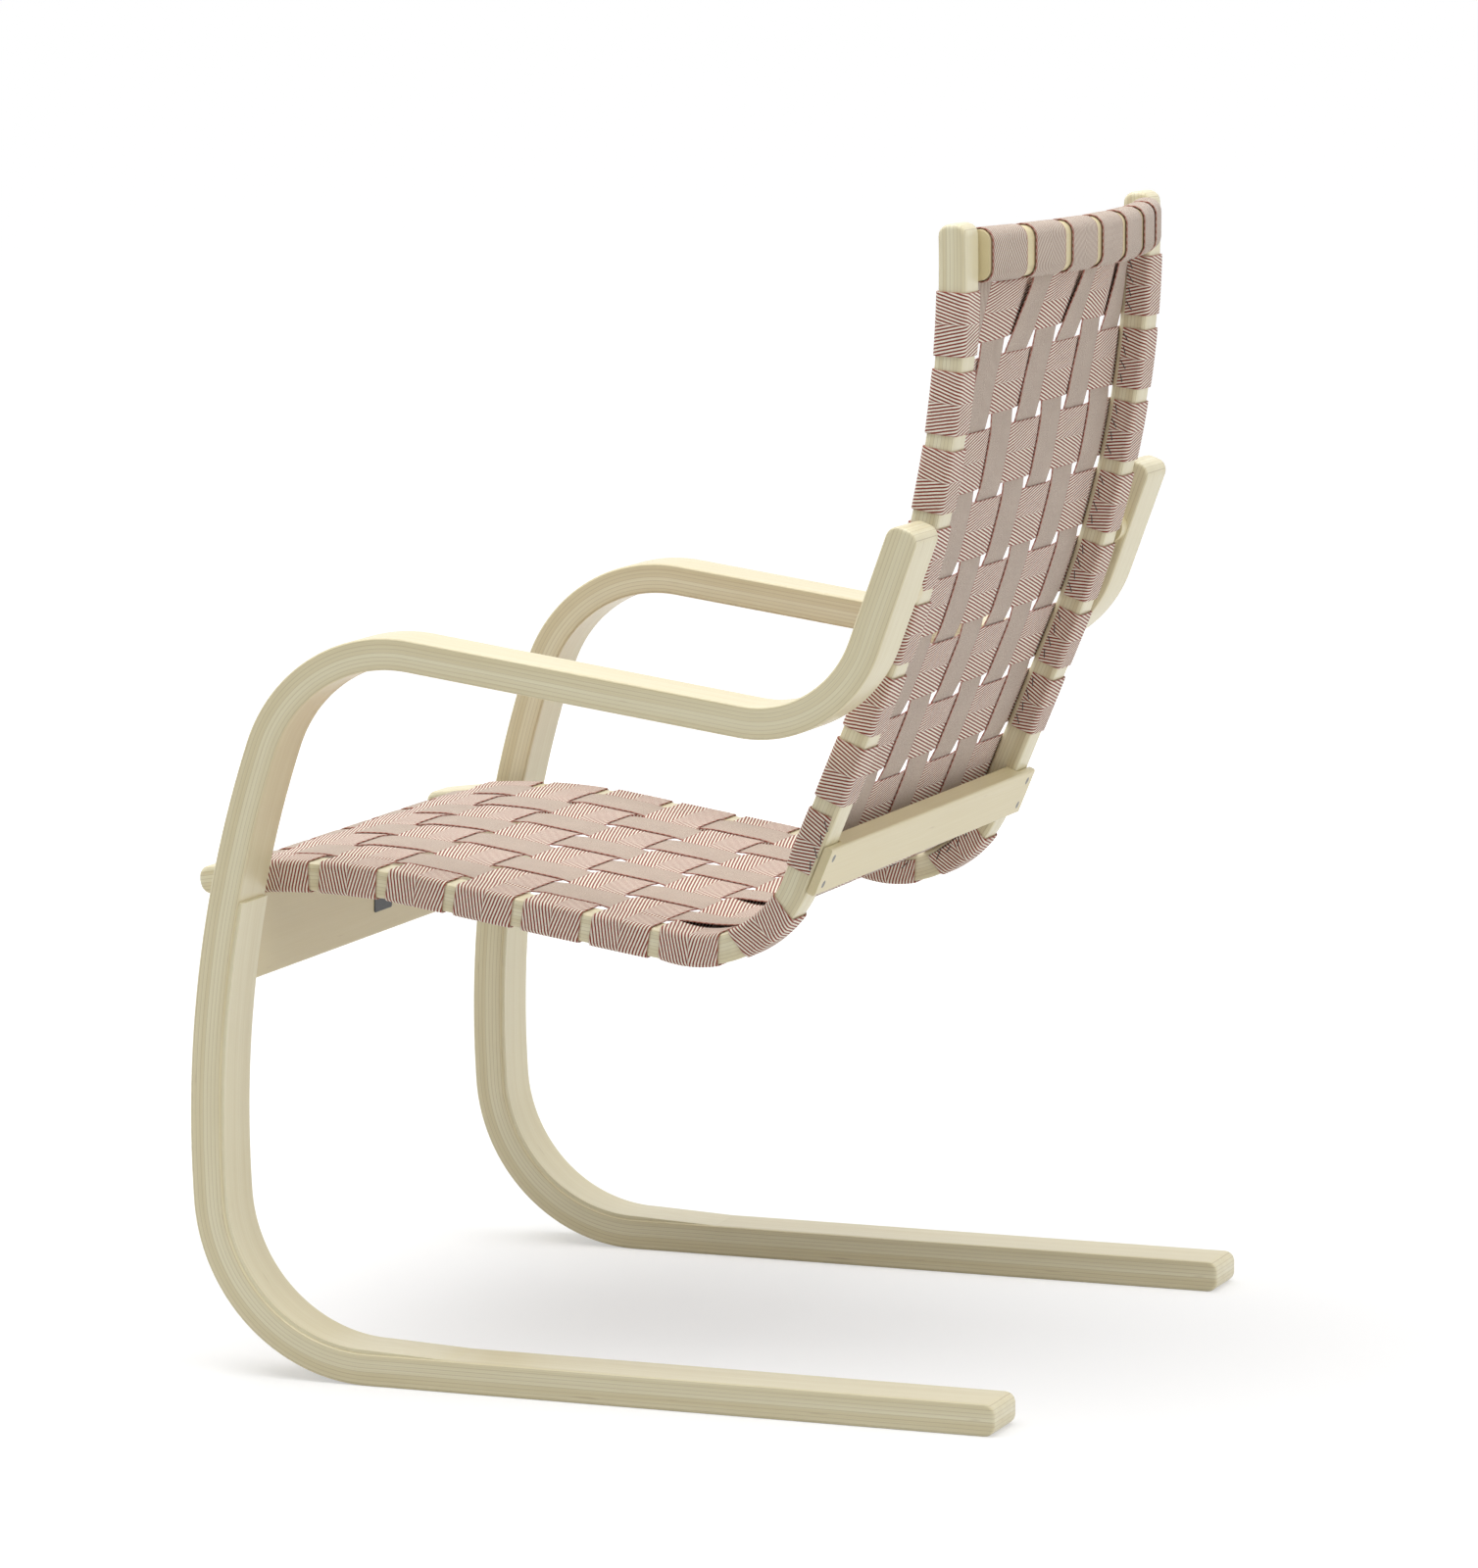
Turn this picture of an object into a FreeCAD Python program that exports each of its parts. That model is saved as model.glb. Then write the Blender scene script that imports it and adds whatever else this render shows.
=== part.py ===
import FreeCAD, Part
import math
import os

from FreeCAD import Vector

# Cantilever lounge chair: two bent laminated side frames carry a bent seat and back
# frame that is woven with belts. Millimetres, +Z up, +X the sitter's left, -Y the front.

# Side frames: one band each, in the side view a chain of runs and tangent arcs.
overall_width = 600.0
band_width = 50.0
band_thickness = 24.0
runner_end_y = 634.0
runner_run = 492.0
toe_radius = 128.0
toe_turn = 86.3
leg_radius = 880.0
leg_turn = 22.7
knee_radius = 109.0
knee_turn = 79.0
arm_run = 261.0
elbow_radius = 88.0
elbow_turn = 78.1
arm_rise = 92.0
band_edge_round = 2.0
runner_end_round = 8.0
arm_end_round = 9.5

# Extra inner ply that stiffens each leg below the seat.
ply_thickness = 3.0
ply_notch_height = 360.0
ply_feather = 70.0

# Seat and back rails, one bent laminated piece on each side.
rail_outer_x = 235.0
rail_width = 31.0
rail_thickness = 21.5
rail_tip_y = -20.4
rail_tip_z = 361.8
rail_tip_heading = 9.8
front_radius = 549.0
front_turn = 18.4
seat_run = 213.0
bend_radius = 84.0
bend_turn = 76.2
back_run = 153.0
back_radius = 817.0
back_turn = 24.7
rail_edge_round = 3.5
rail_end_round = 9.0

# Front cross rail, straight, between the seat rails.
front_rail_station = 38.0
front_rail_depth = 30.0
front_rail_thickness = 16.5
front_rail_round = 6.0

# Top cross rail, bowed to the rear.
top_rail_drop = 24.0
top_rail_height = 37.0
top_rail_thickness = 21.0
top_rail_round = 9.0
top_rail_bow = 27.0
top_rail_setback = 7.5

# Board between the legs that carries the seat frame.
stretcher_height = 64.0
stretcher_thickness = 20.0
stretcher_rear_inset = 6.0
board_edge_round = 2.0

# Crossbar screwed to the rear faces of the rails above the bend.
crossbar_station = 520.0
crossbar_height = 38.0
crossbar_lap = 6.5
crossbar_core = 9.0
crossbar_end_round = 2.0

# Webbing belts: warps run front to top, wefts run side to side.
belt_width = 46.5
belt_thickness = 1.2
belt_clearance = 0.3
rail_clearance = 0.4
warp_count = 7
warp_pitch = 57.5
seat_weft_count = 7
seat_weft_start = 74.0
seat_weft_pitch = 55.3
bend_weft_station = 468.0
back_weft_count = 8
back_weft_top_drop = 72.0
back_weft_pitch = 55.6
bow_reach = 135.0
tail_length = 15.0
weft_corner_radius = 4.0

# Fasteners and spacers.
spacer_diameter = 26.0
arm_bolt_diameter = 8.0
arm_bolt_depth = 32.0
arm_bolt_head_diameter = 8.8
arm_bolt_head_height = 3.0
dowel_diameter = 8.0
dowel_depth = 20.0
seat_dowel_reach = 7.5
leg_dowel_diameter = 10.0
leg_dowel_depth = 24.0
leg_dowel_spacing = 34.0
crossbar_screw_diameter = 3.5
crossbar_screw_length = 20.0
crossbar_screw_head = 6.0
crossbar_screw_head_height = 1.5
crossbar_screw_spacing = 21.0
crossbar_screw_inset = 11.0
staple_width = 11.0
staple_wire = 0.6

arm_inner_x = overall_width / 2 - band_width
rail_inner_x = rail_outer_x - rail_width
half_rail = rail_thickness / 2
weave_offset = half_rail + rail_clearance + belt_thickness / 2
weave_step = (belt_thickness + belt_clearance) / 2


class Chain:
    """A path in the side view, made of straight runs and tangent arcs.

    Headings are in degrees from +Y towards +Z. An offset is measured to the left of
    the heading, so a left turn bends towards positive offsets."""

    def __init__(self, y, z, heading):
        self.start = (y, z, heading)
        self.pieces = []
        self.length = 0.0

    def add(self, length, turn_per_mm):
        """Append a run or an arc and remember where the next one starts."""
        self.pieces.append((self.length, length, turn_per_mm, self.start))
        self.length += length
        self.start = step(self.start, length, turn_per_mm)

    def run(self, length):
        self.add(length, 0.0)

    def turn(self, radius, degrees):
        rate = math.copysign(math.degrees(1.0 / radius), degrees)
        self.add(abs(math.radians(degrees)) * radius, rate)

    def piece_at(self, station):
        """The run or arc that holds a station."""
        for piece in self.pieces:
            if station <= piece[0] + piece[1]:
                return piece
        return self.pieces[-1]

    def at(self, station):
        """The y, z and heading at a station."""
        first, length, rate, start = self.piece_at(station)
        return step(start, station - first, rate)

    def point(self, station, offset, x=0.0):
        """A point beside the path at a station."""
        return beside(self.at(station), offset, x)

    def edges(self, first, last, offset, x):
        """The path between two stations as edges, at an offset."""
        made = []
        for begin, length, rate, start in self.pieces:
            low = max(first, begin)
            high = min(last, begin + length)
            if high - low < 1e-6:
                continue
            a = self.point_on(start, rate, low - begin, offset, x)
            b = self.point_on(start, rate, high - begin, offset, x)
            if rate == 0.0:
                made.append(Part.LineSegment(a, b).toShape())
            else:
                middle = self.point_on(start, rate, (low + high) / 2 - begin, offset, x)
                made.append(Part.Arc(a, middle, b).toShape())
        return made

    def point_on(self, start, rate, distance, offset, x):
        return beside(step(start, distance, rate), offset, x)


def step(pose, distance, rate):
    """Move a pose along a run or an arc of a given turn in degrees per mm."""
    y, z, heading = pose
    angle = math.radians(heading)
    if rate == 0.0:
        return (y + distance * math.cos(angle), z + distance * math.sin(angle), heading)
    radius = math.degrees(1.0 / rate)
    turned = angle + math.radians(rate * distance)
    return (
        y + radius * (math.sin(turned) - math.sin(angle)),
        z - radius * (math.cos(turned) - math.cos(angle)),
        heading + rate * distance,
    )


def beside(pose, offset, x):
    """The point at an offset to the left of a pose."""
    y, z, heading = pose
    angle = math.radians(heading)
    return Vector(x, y - offset * math.sin(angle), z + offset * math.cos(angle))


def direction(heading):
    """The unit vector of a heading."""
    angle = math.radians(heading)
    return Vector(0, math.cos(angle), math.sin(angle))


def side_frame_chain():
    """Centre line of a side frame, from the rear end of the runner to the arm's tip."""
    chain = Chain(runner_end_y, band_thickness / 2, 180.0)
    chain.run(runner_run)
    chain.turn(toe_radius, -toe_turn)
    chain.turn(leg_radius, -leg_turn)
    chain.turn(knee_radius, -knee_turn)
    chain.run(arm_run)
    chain.turn(elbow_radius, elbow_turn)
    chain.run(arm_rise)
    return chain


def rail_chain():
    """Centre line of a seat and back rail, from its front tip to its top."""
    chain = Chain(rail_tip_y, rail_tip_z, rail_tip_heading)
    chain.turn(front_radius, -front_turn)
    chain.run(seat_run)
    chain.turn(bend_radius, bend_turn)
    chain.run(back_run)
    chain.turn(back_radius, back_turn)
    return chain


def band(chain, first, last, low, high, x, width, start_round, end_round):
    """A band between two stations and two offsets, with rounded ends in the side view."""
    outline = chain.edges(first + start_round, last - end_round, high, x)
    outline += cap(chain, last, low, high, end_round, x)
    back = chain.edges(first + start_round, last - end_round, low, x)
    outline += back[::-1]
    outline += cap(chain, first, low, high, -start_round, x)
    wire = Part.Wire(Part.__sortEdges__(outline))
    return Part.Face(wire).extrude(Vector(width, 0, 0))


def cap(chain, station, low, high, corner, x):
    """The end of a band: two rounded corners and the flat between them."""
    pose = chain.at(station)
    size = abs(corner)
    upper = beside(pose, high, x)
    lower = beside(pose, low, x)
    across = (lower - upper).normalize()
    diagonal = 1 - math.sqrt(0.5)
    shapes = []
    for corner_point, offset, turn in ((upper, high, across), (lower, low, across * -1)):
        on_side = chain.point(station - corner, offset, x)
        on_end = corner_point + turn * size
        middle = corner_point + (on_side - corner_point) * diagonal + turn * (size * diagonal)
        shapes.append(Part.Arc(on_side, middle, on_end).toShape())
    if high - low > 2 * size + 1e-6:
        ends = Part.LineSegment(upper + across * size, lower - across * size)
        shapes.append(ends.toShape())
    return shapes


def long_edges(solid, x_values):
    """Edges that lie in planes of constant X."""
    chosen = []
    for edge in solid.Edges:
        box = edge.BoundBox
        for x in x_values:
            if abs(box.XMin - x) < 1e-4 and abs(box.XMax - x) < 1e-4:
                chosen.append(edge)
    return chosen


def cylinder(start, axis, diameter, length):
    """A round bar from a start point along an axis."""
    return Part.makeCylinder(diameter / 2, length, start, axis)


def side_frame(x, bores):
    """One bent laminated band: runner, leg, arm and rising end."""
    chain = side_frame_chain()
    half = band_thickness / 2
    solid = band(chain, 0, chain.length, -half, half, x, band_width,
                 runner_end_round, arm_end_round)
    solid = solid.makeFillet(band_edge_round, long_edges(solid, (x, x + band_width)))
    for bore in bores:
        solid = solid.cut(bore)
    return solid


def leg_station_at(height):
    """The station where the centre line of the leg passes a height."""
    chain = side_frame_chain()
    low = runner_run
    high = chain.pieces[3][0]
    while high - low > 0.01:
        middle = (low + high) / 2
        if chain.at(middle)[1] < height:
            low = middle
        else:
            high = middle
    return low


def inner_ply(x, bores):
    """Extra veneer layer on the inner face of a leg, feathered out on the runner."""
    chain = side_frame_chain()
    near = -band_thickness / 2
    far = near - ply_thickness
    top = leg_station_at(ply_notch_height)
    edges = chain.edges(runner_run, top, far, x)
    edges += chain.edges(runner_run - ply_feather, top, near, x)
    edges.append(Part.LineSegment(chain.point(top, near, x), chain.point(top, far, x)).toShape())
    feather = Part.LineSegment(chain.point(runner_run - ply_feather, near, x),
                               chain.point(runner_run, far, x))
    edges.append(feather.toShape())
    wire = Part.Wire(Part.__sortEdges__(edges))
    inset = band_edge_round
    solid = Part.Face(wire).extrude(Vector(band_width - 2 * inset, 0, 0))
    solid.translate(Vector(inset, 0, 0))
    for bore in bores:
        solid = solid.cut(bore)
    return solid


def rail(x, bores):
    """One bent seat and back rail with round ends."""
    chain = rail_chain()
    solid = band(chain, 0, chain.length, -half_rail, half_rail, x, rail_width,
                 rail_end_round, rail_end_round)
    solid = solid.makeFillet(rail_edge_round, long_edges(solid, (x, x + rail_width)))
    for bore in bores:
        solid = solid.cut(bore)
    return solid


def rounded_section(chain, station, length, thickness, corner, centre_offset, x):
    """A rounded rectangle across the path, as a closed wire at a given X."""
    pose = chain.at(station)
    along = direction(pose[2])
    up = Vector(0, -along.z, along.y)
    middle = beside(pose, centre_offset, x)
    a = length / 2
    b = thickness / 2
    corners = []
    for sa, sb in ((1, 1), (-1, 1), (-1, -1), (1, -1)):
        corners.append(middle + along * (sa * a) + up * (sb * b))
    polygon = Part.makePolygon(corners + corners[:1])
    return round_corners(polygon, corner)


def round_corners(polygon, radius):
    """Replace the corners of a closed polygon by arcs."""
    points = [vertex.Point for vertex in polygon.OrderedVertexes]
    count = len(points)
    edges = []
    for index in range(count):
        before = points[index - 1]
        here = points[index]
        after = points[(index + 1) % count]
        into = (before - here).normalize()
        out = (after - here).normalize()
        centre = here + (into + out) * radius
        middle = centre + (here - centre).normalize() * radius
        edges.append(Part.Arc(here + into * radius, middle, here + out * radius).toShape())
        straight = Part.LineSegment(here + out * radius,
                                    after + (here - after).normalize() * radius)
        edges.append(straight.toShape())
    return Part.Wire(edges)


def front_rail_wire(grow, x):
    """Section of the front cross rail, grown all round by a margin."""
    chain = rail_chain()
    return rounded_section(chain, front_rail_station, front_rail_depth + 2 * grow,
                           front_rail_thickness + 2 * grow, front_rail_round + grow, 0.0, x)


def front_cross_rail(bores):
    wire = front_rail_wire(0.0, -rail_inner_x)
    solid = Part.Face(wire).extrude(Vector(2 * rail_inner_x, 0, 0))
    for bore in bores:
        solid = solid.cut(bore)
    return solid


def bow_radius():
    """Radius of the top cross rail's bow at its middle line."""
    half_span = rail_inner_x
    return (half_span ** 2 + top_rail_bow ** 2) / (2 * top_rail_bow)


def top_rail_centre():
    """Middle of the top cross rail's section, at X = 0."""
    chain = rail_chain()
    y, z, heading = chain.at(chain.length - top_rail_drop)
    return Vector(0, y + top_rail_setback + top_rail_bow, z)


def bow_axis():
    """The upright axis that the top cross rail bends about."""
    centre = top_rail_centre()
    return Vector(0, centre.y - bow_radius(), centre.z)


def top_rail_wire(grow):
    """Section of the top cross rail at X = 0, grown all round by a margin."""
    centre = top_rail_centre()
    a = top_rail_thickness / 2 + grow
    b = top_rail_height / 2 + grow
    corners = []
    for sa, sb in ((1, 1), (-1, 1), (-1, -1), (1, -1)):
        corners.append(centre + Vector(0, sa * a, sb * b))
    return round_corners(Part.makePolygon(corners + corners[:1]), top_rail_round + grow)


def swept_on_bow(face, low_x, high_x):
    """Sweep a section at X = 0 round the bow between two X positions."""
    radius = bow_radius()
    low = math.degrees(math.asin(low_x / radius))
    high = math.degrees(math.asin(high_x / radius))
    turned = face.copy()
    turned.rotate(bow_axis(), Vector(0, 0, 1), -low)
    return turned.revolve(bow_axis(), Vector(0, 0, 1), low - high)


def top_cross_rail(bores):
    face = Part.Face(top_rail_wire(0.0))
    reach = rail_inner_x + top_rail_thickness
    solid = swept_on_bow(face, -reach, reach)
    trim = Part.makeBox(2 * rail_inner_x, 400, 400, Vector(-rail_inner_x, 300, 600))
    solid = solid.common(trim)
    for bore in bores:
        solid = solid.cut(bore)
    return solid


def stretcher_rear_y():
    """Rear face of the stretcher, inside the thickness of the legs."""
    chain = side_frame_chain()
    station = leg_station_at(stretcher_top_z() - stretcher_height / 2)
    return chain.point(station, -band_thickness / 2).y - stretcher_rear_inset


def stretcher_top_z():
    """Underside of the rails where they lie on the stretcher."""
    chain = rail_chain()
    lowest = min(chain.point(station, -half_rail).z for station in (30.0, 45.0, 60.0))
    return lowest - 0.05


def stretcher(bores):
    """Board between the legs, on which the seat frame rests."""
    width = 2 * arm_inner_x
    corner = Vector(-arm_inner_x, stretcher_rear_y() - stretcher_thickness,
                    stretcher_top_z() - stretcher_height)
    solid = Part.makeBox(width, stretcher_thickness, stretcher_height, corner)
    long = []
    for edge in solid.Edges:
        if edge.BoundBox.XLength > width - 1:
            long.append(edge)
    solid = solid.makeFillet(board_edge_round, long)
    for bore in bores:
        solid = solid.cut(bore)
    return solid


def rear_crossbar(bores):
    """Flat board on the rails' rear faces, thicker between the rails."""
    chain = rail_chain()
    seat = -half_rail
    lap = rounded_section(chain, crossbar_station, crossbar_height, crossbar_lap,
                          crossbar_end_round, seat - crossbar_lap / 2, -rail_outer_x)
    solid = Part.Face(lap).extrude(Vector(2 * rail_outer_x, 0, 0))
    inner = rail_inner_x
    depth = crossbar_core + crossbar_lap
    core = rounded_section(chain, crossbar_station, crossbar_height, depth,
                           crossbar_end_round, seat - crossbar_lap + depth / 2, -inner)
    solid = solid.fuse(Part.Face(core).extrude(Vector(2 * inner, 0, 0))).removeSplitter()
    for bore in bores:
        solid = solid.cut(bore)
    return solid


def weft_stations():
    """Stations of the weft belts along the rails, from the front to the top."""
    total = rail_chain().length
    stations = []
    for index in range(seat_weft_count):
        stations.append(seat_weft_start + index * seat_weft_pitch)
    stations.append(bend_weft_station)
    for index in range(back_weft_count - 1, -1, -1):
        stations.append(total - back_weft_top_drop - index * back_weft_pitch)
    return stations


def warp_centres():
    """X positions of the warp belts, from the sitter's right to the left."""
    first = -(warp_count - 1) * warp_pitch / 2
    return [first + index * warp_pitch for index in range(warp_count)]


def bow_offset(station, x):
    """How far the weave is drawn to the rear below the bowed top cross rail."""
    total = rail_chain().length
    below = total - top_rail_drop - station
    if below >= bow_reach:
        return 0.0
    fade = (1 - below / bow_reach) ** 2
    shape = 1 - (x / rail_inner_x) ** 2
    return fade * (top_rail_setback + top_rail_bow * shape)


def weft_lies_in_front(weft_index, warp_index):
    """Plain weave: neighbours alternate, and the top weft passes behind the last warp."""
    last = seat_weft_count + back_weft_count
    return (last - weft_index + warp_count - 1 - warp_index) % 2 == 1


def ribbon(points, thickness):
    """A thin closed outline of even thickness along points in one plane, X and offset."""
    count = len(points)
    upper = []
    lower = []
    for index, (a, b) in enumerate(points):
        before = points[max(index - 1, 0)]
        after = points[min(index + 1, count - 1)]
        na = unit_normal(before, (a, b)) if index > 0 else unit_normal((a, b), after)
        nb = unit_normal((a, b), after) if index < count - 1 else na
        mean = (na[0] + nb[0], na[1] + nb[1])
        scale = thickness / (mean[0] ** 2 + mean[1] ** 2)
        upper.append((a + mean[0] * scale, b + mean[1] * scale))
        lower.append((a - mean[0] * scale, b - mean[1] * scale))
    return upper + lower[::-1]


def unit_normal(first, second):
    """Left normal of the line between two plane points."""
    da = second[0] - first[0]
    db = second[1] - first[1]
    size = math.hypot(da, db)
    return (-db / size, da / size)


def meets_crossbar(weft_index):
    """The lowest back weft shares its rails with the crossbar, so it ends beside it."""
    return weft_index == seat_weft_count + 1


def weft_path(station, weft_index):
    """Centre line of a weft in its own plane: tails, wraps round the rails, weave."""
    margin = rail_clearance + belt_thickness / 2
    outer = rail_outer_x + margin
    inner = rail_inner_x - margin
    front = weave_offset
    rear = -(half_rail + margin)
    half = belt_width / 2
    middle = []
    for warp_index, x in enumerate(warp_centres()):
        side = 1 if weft_lies_in_front(weft_index, warp_index) else -1
        level = front + side * weave_step - bow_offset(station, x)
        middle.append((x - half, level))
        middle.append((x + half, level))
    right = wrap_points(inner, outer, front, rear, meets_crossbar(weft_index))
    left = [(-a, b) for a, b in reversed(right)]
    return left + middle + right


def wrap_points(inner, outer, front, rear, ends_outside):
    """Points round one rail: over the front, the outer side, the rear, the inner side."""
    corner = weft_corner_radius
    points = [(inner + corner, front)]
    turns = [
        (outer - corner, front - corner, 90.0),
        (outer - corner, rear + corner, 0.0),
        (inner + corner, rear + corner, -90.0),
    ]
    if ends_outside:
        turns = turns[:1]
    for a, b, begin in turns:
        for angle in (0.0, 45.0, 90.0):
            turned = math.radians(begin - angle)
            points.append((a + corner * math.cos(turned), b + corner * math.sin(turned)))
    if ends_outside:
        points.append((outer, rear + corner))
    else:
        points.append((inner, rear + tail_length))
    return points


def weft_belt(station, weft_index):
    """One weft belt, bent along the rail where the rail is bent."""
    chain = rail_chain()
    first, length, rate, start = chain.piece_at(station)
    begin = station - belt_width / 2
    pose = step(start, begin - first, rate)
    outline = []
    for x, offset in ribbon(weft_path(station, weft_index), belt_thickness):
        outline.append(beside(pose, offset, x))
    face = Part.Face(Part.makePolygon(outline + outline[:1]))
    if rate == 0.0:
        return face.extrude(direction(pose[2]) * belt_width)
    centre = beside(pose, math.degrees(1.0 / rate), 0.0)
    return face.revolve(centre, Vector(1, 0, 0), rate * belt_width)


def warp_points(warp_index, x):
    """Centre line of a warp in the side view, between the two cross rails."""
    chain = rail_chain()
    points = []
    for weft_index, station in enumerate(weft_stations()):
        first, length, rate, start = chain.piece_at(station)
        side = -1 if weft_lies_in_front(weft_index, warp_index) else 1
        level = weave_offset + side * weave_step - bow_offset(station, x)
        tight = rate != 0.0 and abs(math.degrees(1.0 / rate)) < 3 * bend_radius
        steps = 6 if tight else 2
        for index in range(steps + 1):
            distance = station - first - belt_width / 2 + belt_width * index / steps
            spot = beside(step(start, distance, rate), level, 0.0)
            points.append((spot.y, spot.z))
    return points


def ring(outer_wire, inner_wire):
    """A face between two closed wires."""
    return Part.Face(outer_wire).cut(Part.Face(inner_wire))


def warp_belt(warp_index, x):
    """One warp belt: a wrap on the front rail, the weave, a wrap on the top rail."""
    half = belt_width / 2
    inner = rail_clearance
    outer = rail_clearance + belt_thickness
    front_wrap = ring(front_rail_wire(outer, x - half), front_rail_wire(inner, x - half))
    front_wrap = front_wrap.extrude(Vector(belt_width, 0, 0))
    top_wrap = swept_on_bow(ring(top_rail_wire(outer), top_rail_wire(inner)), x - half, x + half)

    chain = rail_chain()
    lift = front_rail_thickness / 2 + rail_clearance + belt_thickness / 2
    begin = chain.point(front_rail_station, lift)
    points = [(begin.y, begin.z)] + warp_points(warp_index, x)
    centre = top_rail_centre()
    sag = bow_radius() - math.sqrt(bow_radius() ** 2 - x ** 2)
    front_y = centre.y - sag - top_rail_thickness / 2 - rail_clearance - belt_thickness / 2
    points.append((front_y, centre.z - top_rail_height / 2 + top_rail_round))
    outline = [Vector(x - half, y, z) for y, z in ribbon(points, belt_thickness)]
    strip = Part.Face(Part.makePolygon(outline + outline[:1])).extrude(Vector(belt_width, 0, 0))
    keep_off = swept_on_bow(Part.Face(top_rail_wire(inner)), x - half - 5, x + half + 5)
    strip = strip.cut(keep_off)
    solid = front_wrap.fuse([strip, top_wrap])
    return largest_solid(solid)


def largest_solid(shape):
    """The main solid of a shape, without slivers left by a cut."""
    return max(shape.Solids, key=lambda solid: solid.Volume)


def spacer_station():
    """Station of the arm bolt: in the gap between two wefts that the arm crosses."""
    total = rail_chain().length
    return total - back_weft_top_drop - 3.5 * back_weft_pitch


def arm_bolt(side):
    """Bolt from the rail's inner face through the spacer into the arm."""
    chain = rail_chain()
    start = chain.point(spacer_station(), 0.0, side * (rail_inner_x + arm_bolt_head_height))
    reach = arm_inner_x + arm_bolt_depth - rail_inner_x - arm_bolt_head_height
    shaft = cylinder(start, Vector(side, 0, 0), arm_bolt_diameter, reach)
    head_start = chain.point(spacer_station(), 0.0, side * rail_inner_x)
    head = cylinder(head_start, Vector(side, 0, 0), arm_bolt_head_diameter, arm_bolt_head_height)
    return shaft.fuse(head).removeSplitter()


def arm_spacer(side, bolt):
    """Round spacer between an arm's end and the rail."""
    chain = rail_chain()
    gap = rail_clearance + belt_thickness + belt_clearance
    start = chain.point(spacer_station(), 0.0, side * (rail_outer_x + gap))
    length = arm_inner_x - rail_outer_x - gap
    solid = cylinder(start, Vector(side, 0, 0), spacer_diameter, length)
    return solid.cut(bolt)


def leg_dowels(side):
    """Two dowels that join the stretcher to a leg."""
    made = []
    y = stretcher_rear_y() - stretcher_thickness / 2
    middle = stretcher_top_z() - stretcher_height / 2
    for up in (-0.5, 0.5):
        start = Vector(side * (arm_inner_x - leg_dowel_depth), y, middle + up * leg_dowel_spacing)
        made.append(cylinder(start, Vector(side, 0, 0), leg_dowel_diameter, 2 * leg_dowel_depth))
    return made


def seat_dowel(side):
    """Upright dowel between the stretcher and a rail."""
    x = side * (rail_outer_x - rail_width / 2)
    y = stretcher_rear_y() - stretcher_thickness / 2
    start = Vector(x, y, stretcher_top_z() - dowel_depth)
    return cylinder(start, Vector(0, 0, 1), dowel_diameter, dowel_depth + seat_dowel_reach)


def cross_rail_dowels(side):
    """Dowels at one end of the front and the top cross rails."""
    chain = rail_chain()
    made = []
    y, z, heading = chain.at(front_rail_station)
    top_y, top_z, top_heading = chain.at(chain.length - top_rail_drop)
    for spot_y, spot_z in ((y, z), (top_y + top_rail_setback / 2, top_z)):
        start = Vector(side * (rail_inner_x - dowel_depth), spot_y, spot_z)
        made.append(cylinder(start, Vector(side, 0, 0), dowel_diameter * 0.75, 2 * dowel_depth))
    return made


def crossbar_screws(side):
    """Two screws through one end of the crossbar into the rail."""
    chain = rail_chain()
    made = []
    outer = -half_rail - crossbar_lap
    x = side * (rail_outer_x - crossbar_screw_inset)
    for along in (-0.5, 0.5):
        pose = chain.at(crossbar_station)
        shift = direction(pose[2]) * (along * crossbar_screw_spacing)
        axis = beside(pose, 1.0, 0.0) - beside(pose, 0.0, 0.0)
        start = beside(pose, outer, x) + shift
        shaft = cylinder(start, axis, crossbar_screw_diameter, crossbar_screw_length)
        head = cylinder(start, axis, crossbar_screw_head, crossbar_screw_head_height)
        made.append(shaft.fuse(head).removeSplitter())
    return made


def weft_staples(side):
    """One staple crown on the tail of each weft, on one rail."""
    chain = rail_chain()
    made = []
    for weft_index, station in enumerate(weft_stations()):
        pose = chain.at(station)
        along = direction(pose[2])
        up = beside(pose, 1.0, 0.0) - beside(pose, 0.0, 0.0)
        if meets_crossbar(weft_index):
            height = -half_rail + 2 * weft_corner_radius
            surface = rail_outer_x + rail_clearance + belt_thickness
            low = surface if side > 0 else -surface - staple_wire
        else:
            height = -half_rail + tail_length * 0.6
            surface = rail_inner_x - rail_clearance - belt_thickness
            low = surface - staple_wire if side > 0 else -surface
        corner = beside(pose, height, low) - along * (staple_width / 2)
        wire = Part.makePolygon([
            corner,
            corner + along * staple_width,
            corner + along * staple_width + up * staple_wire,
            corner + up * staple_wire,
            corner,
        ])
        made.append(Part.Face(wire).extrude(Vector(staple_wire, 0, 0)))
    return made


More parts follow.
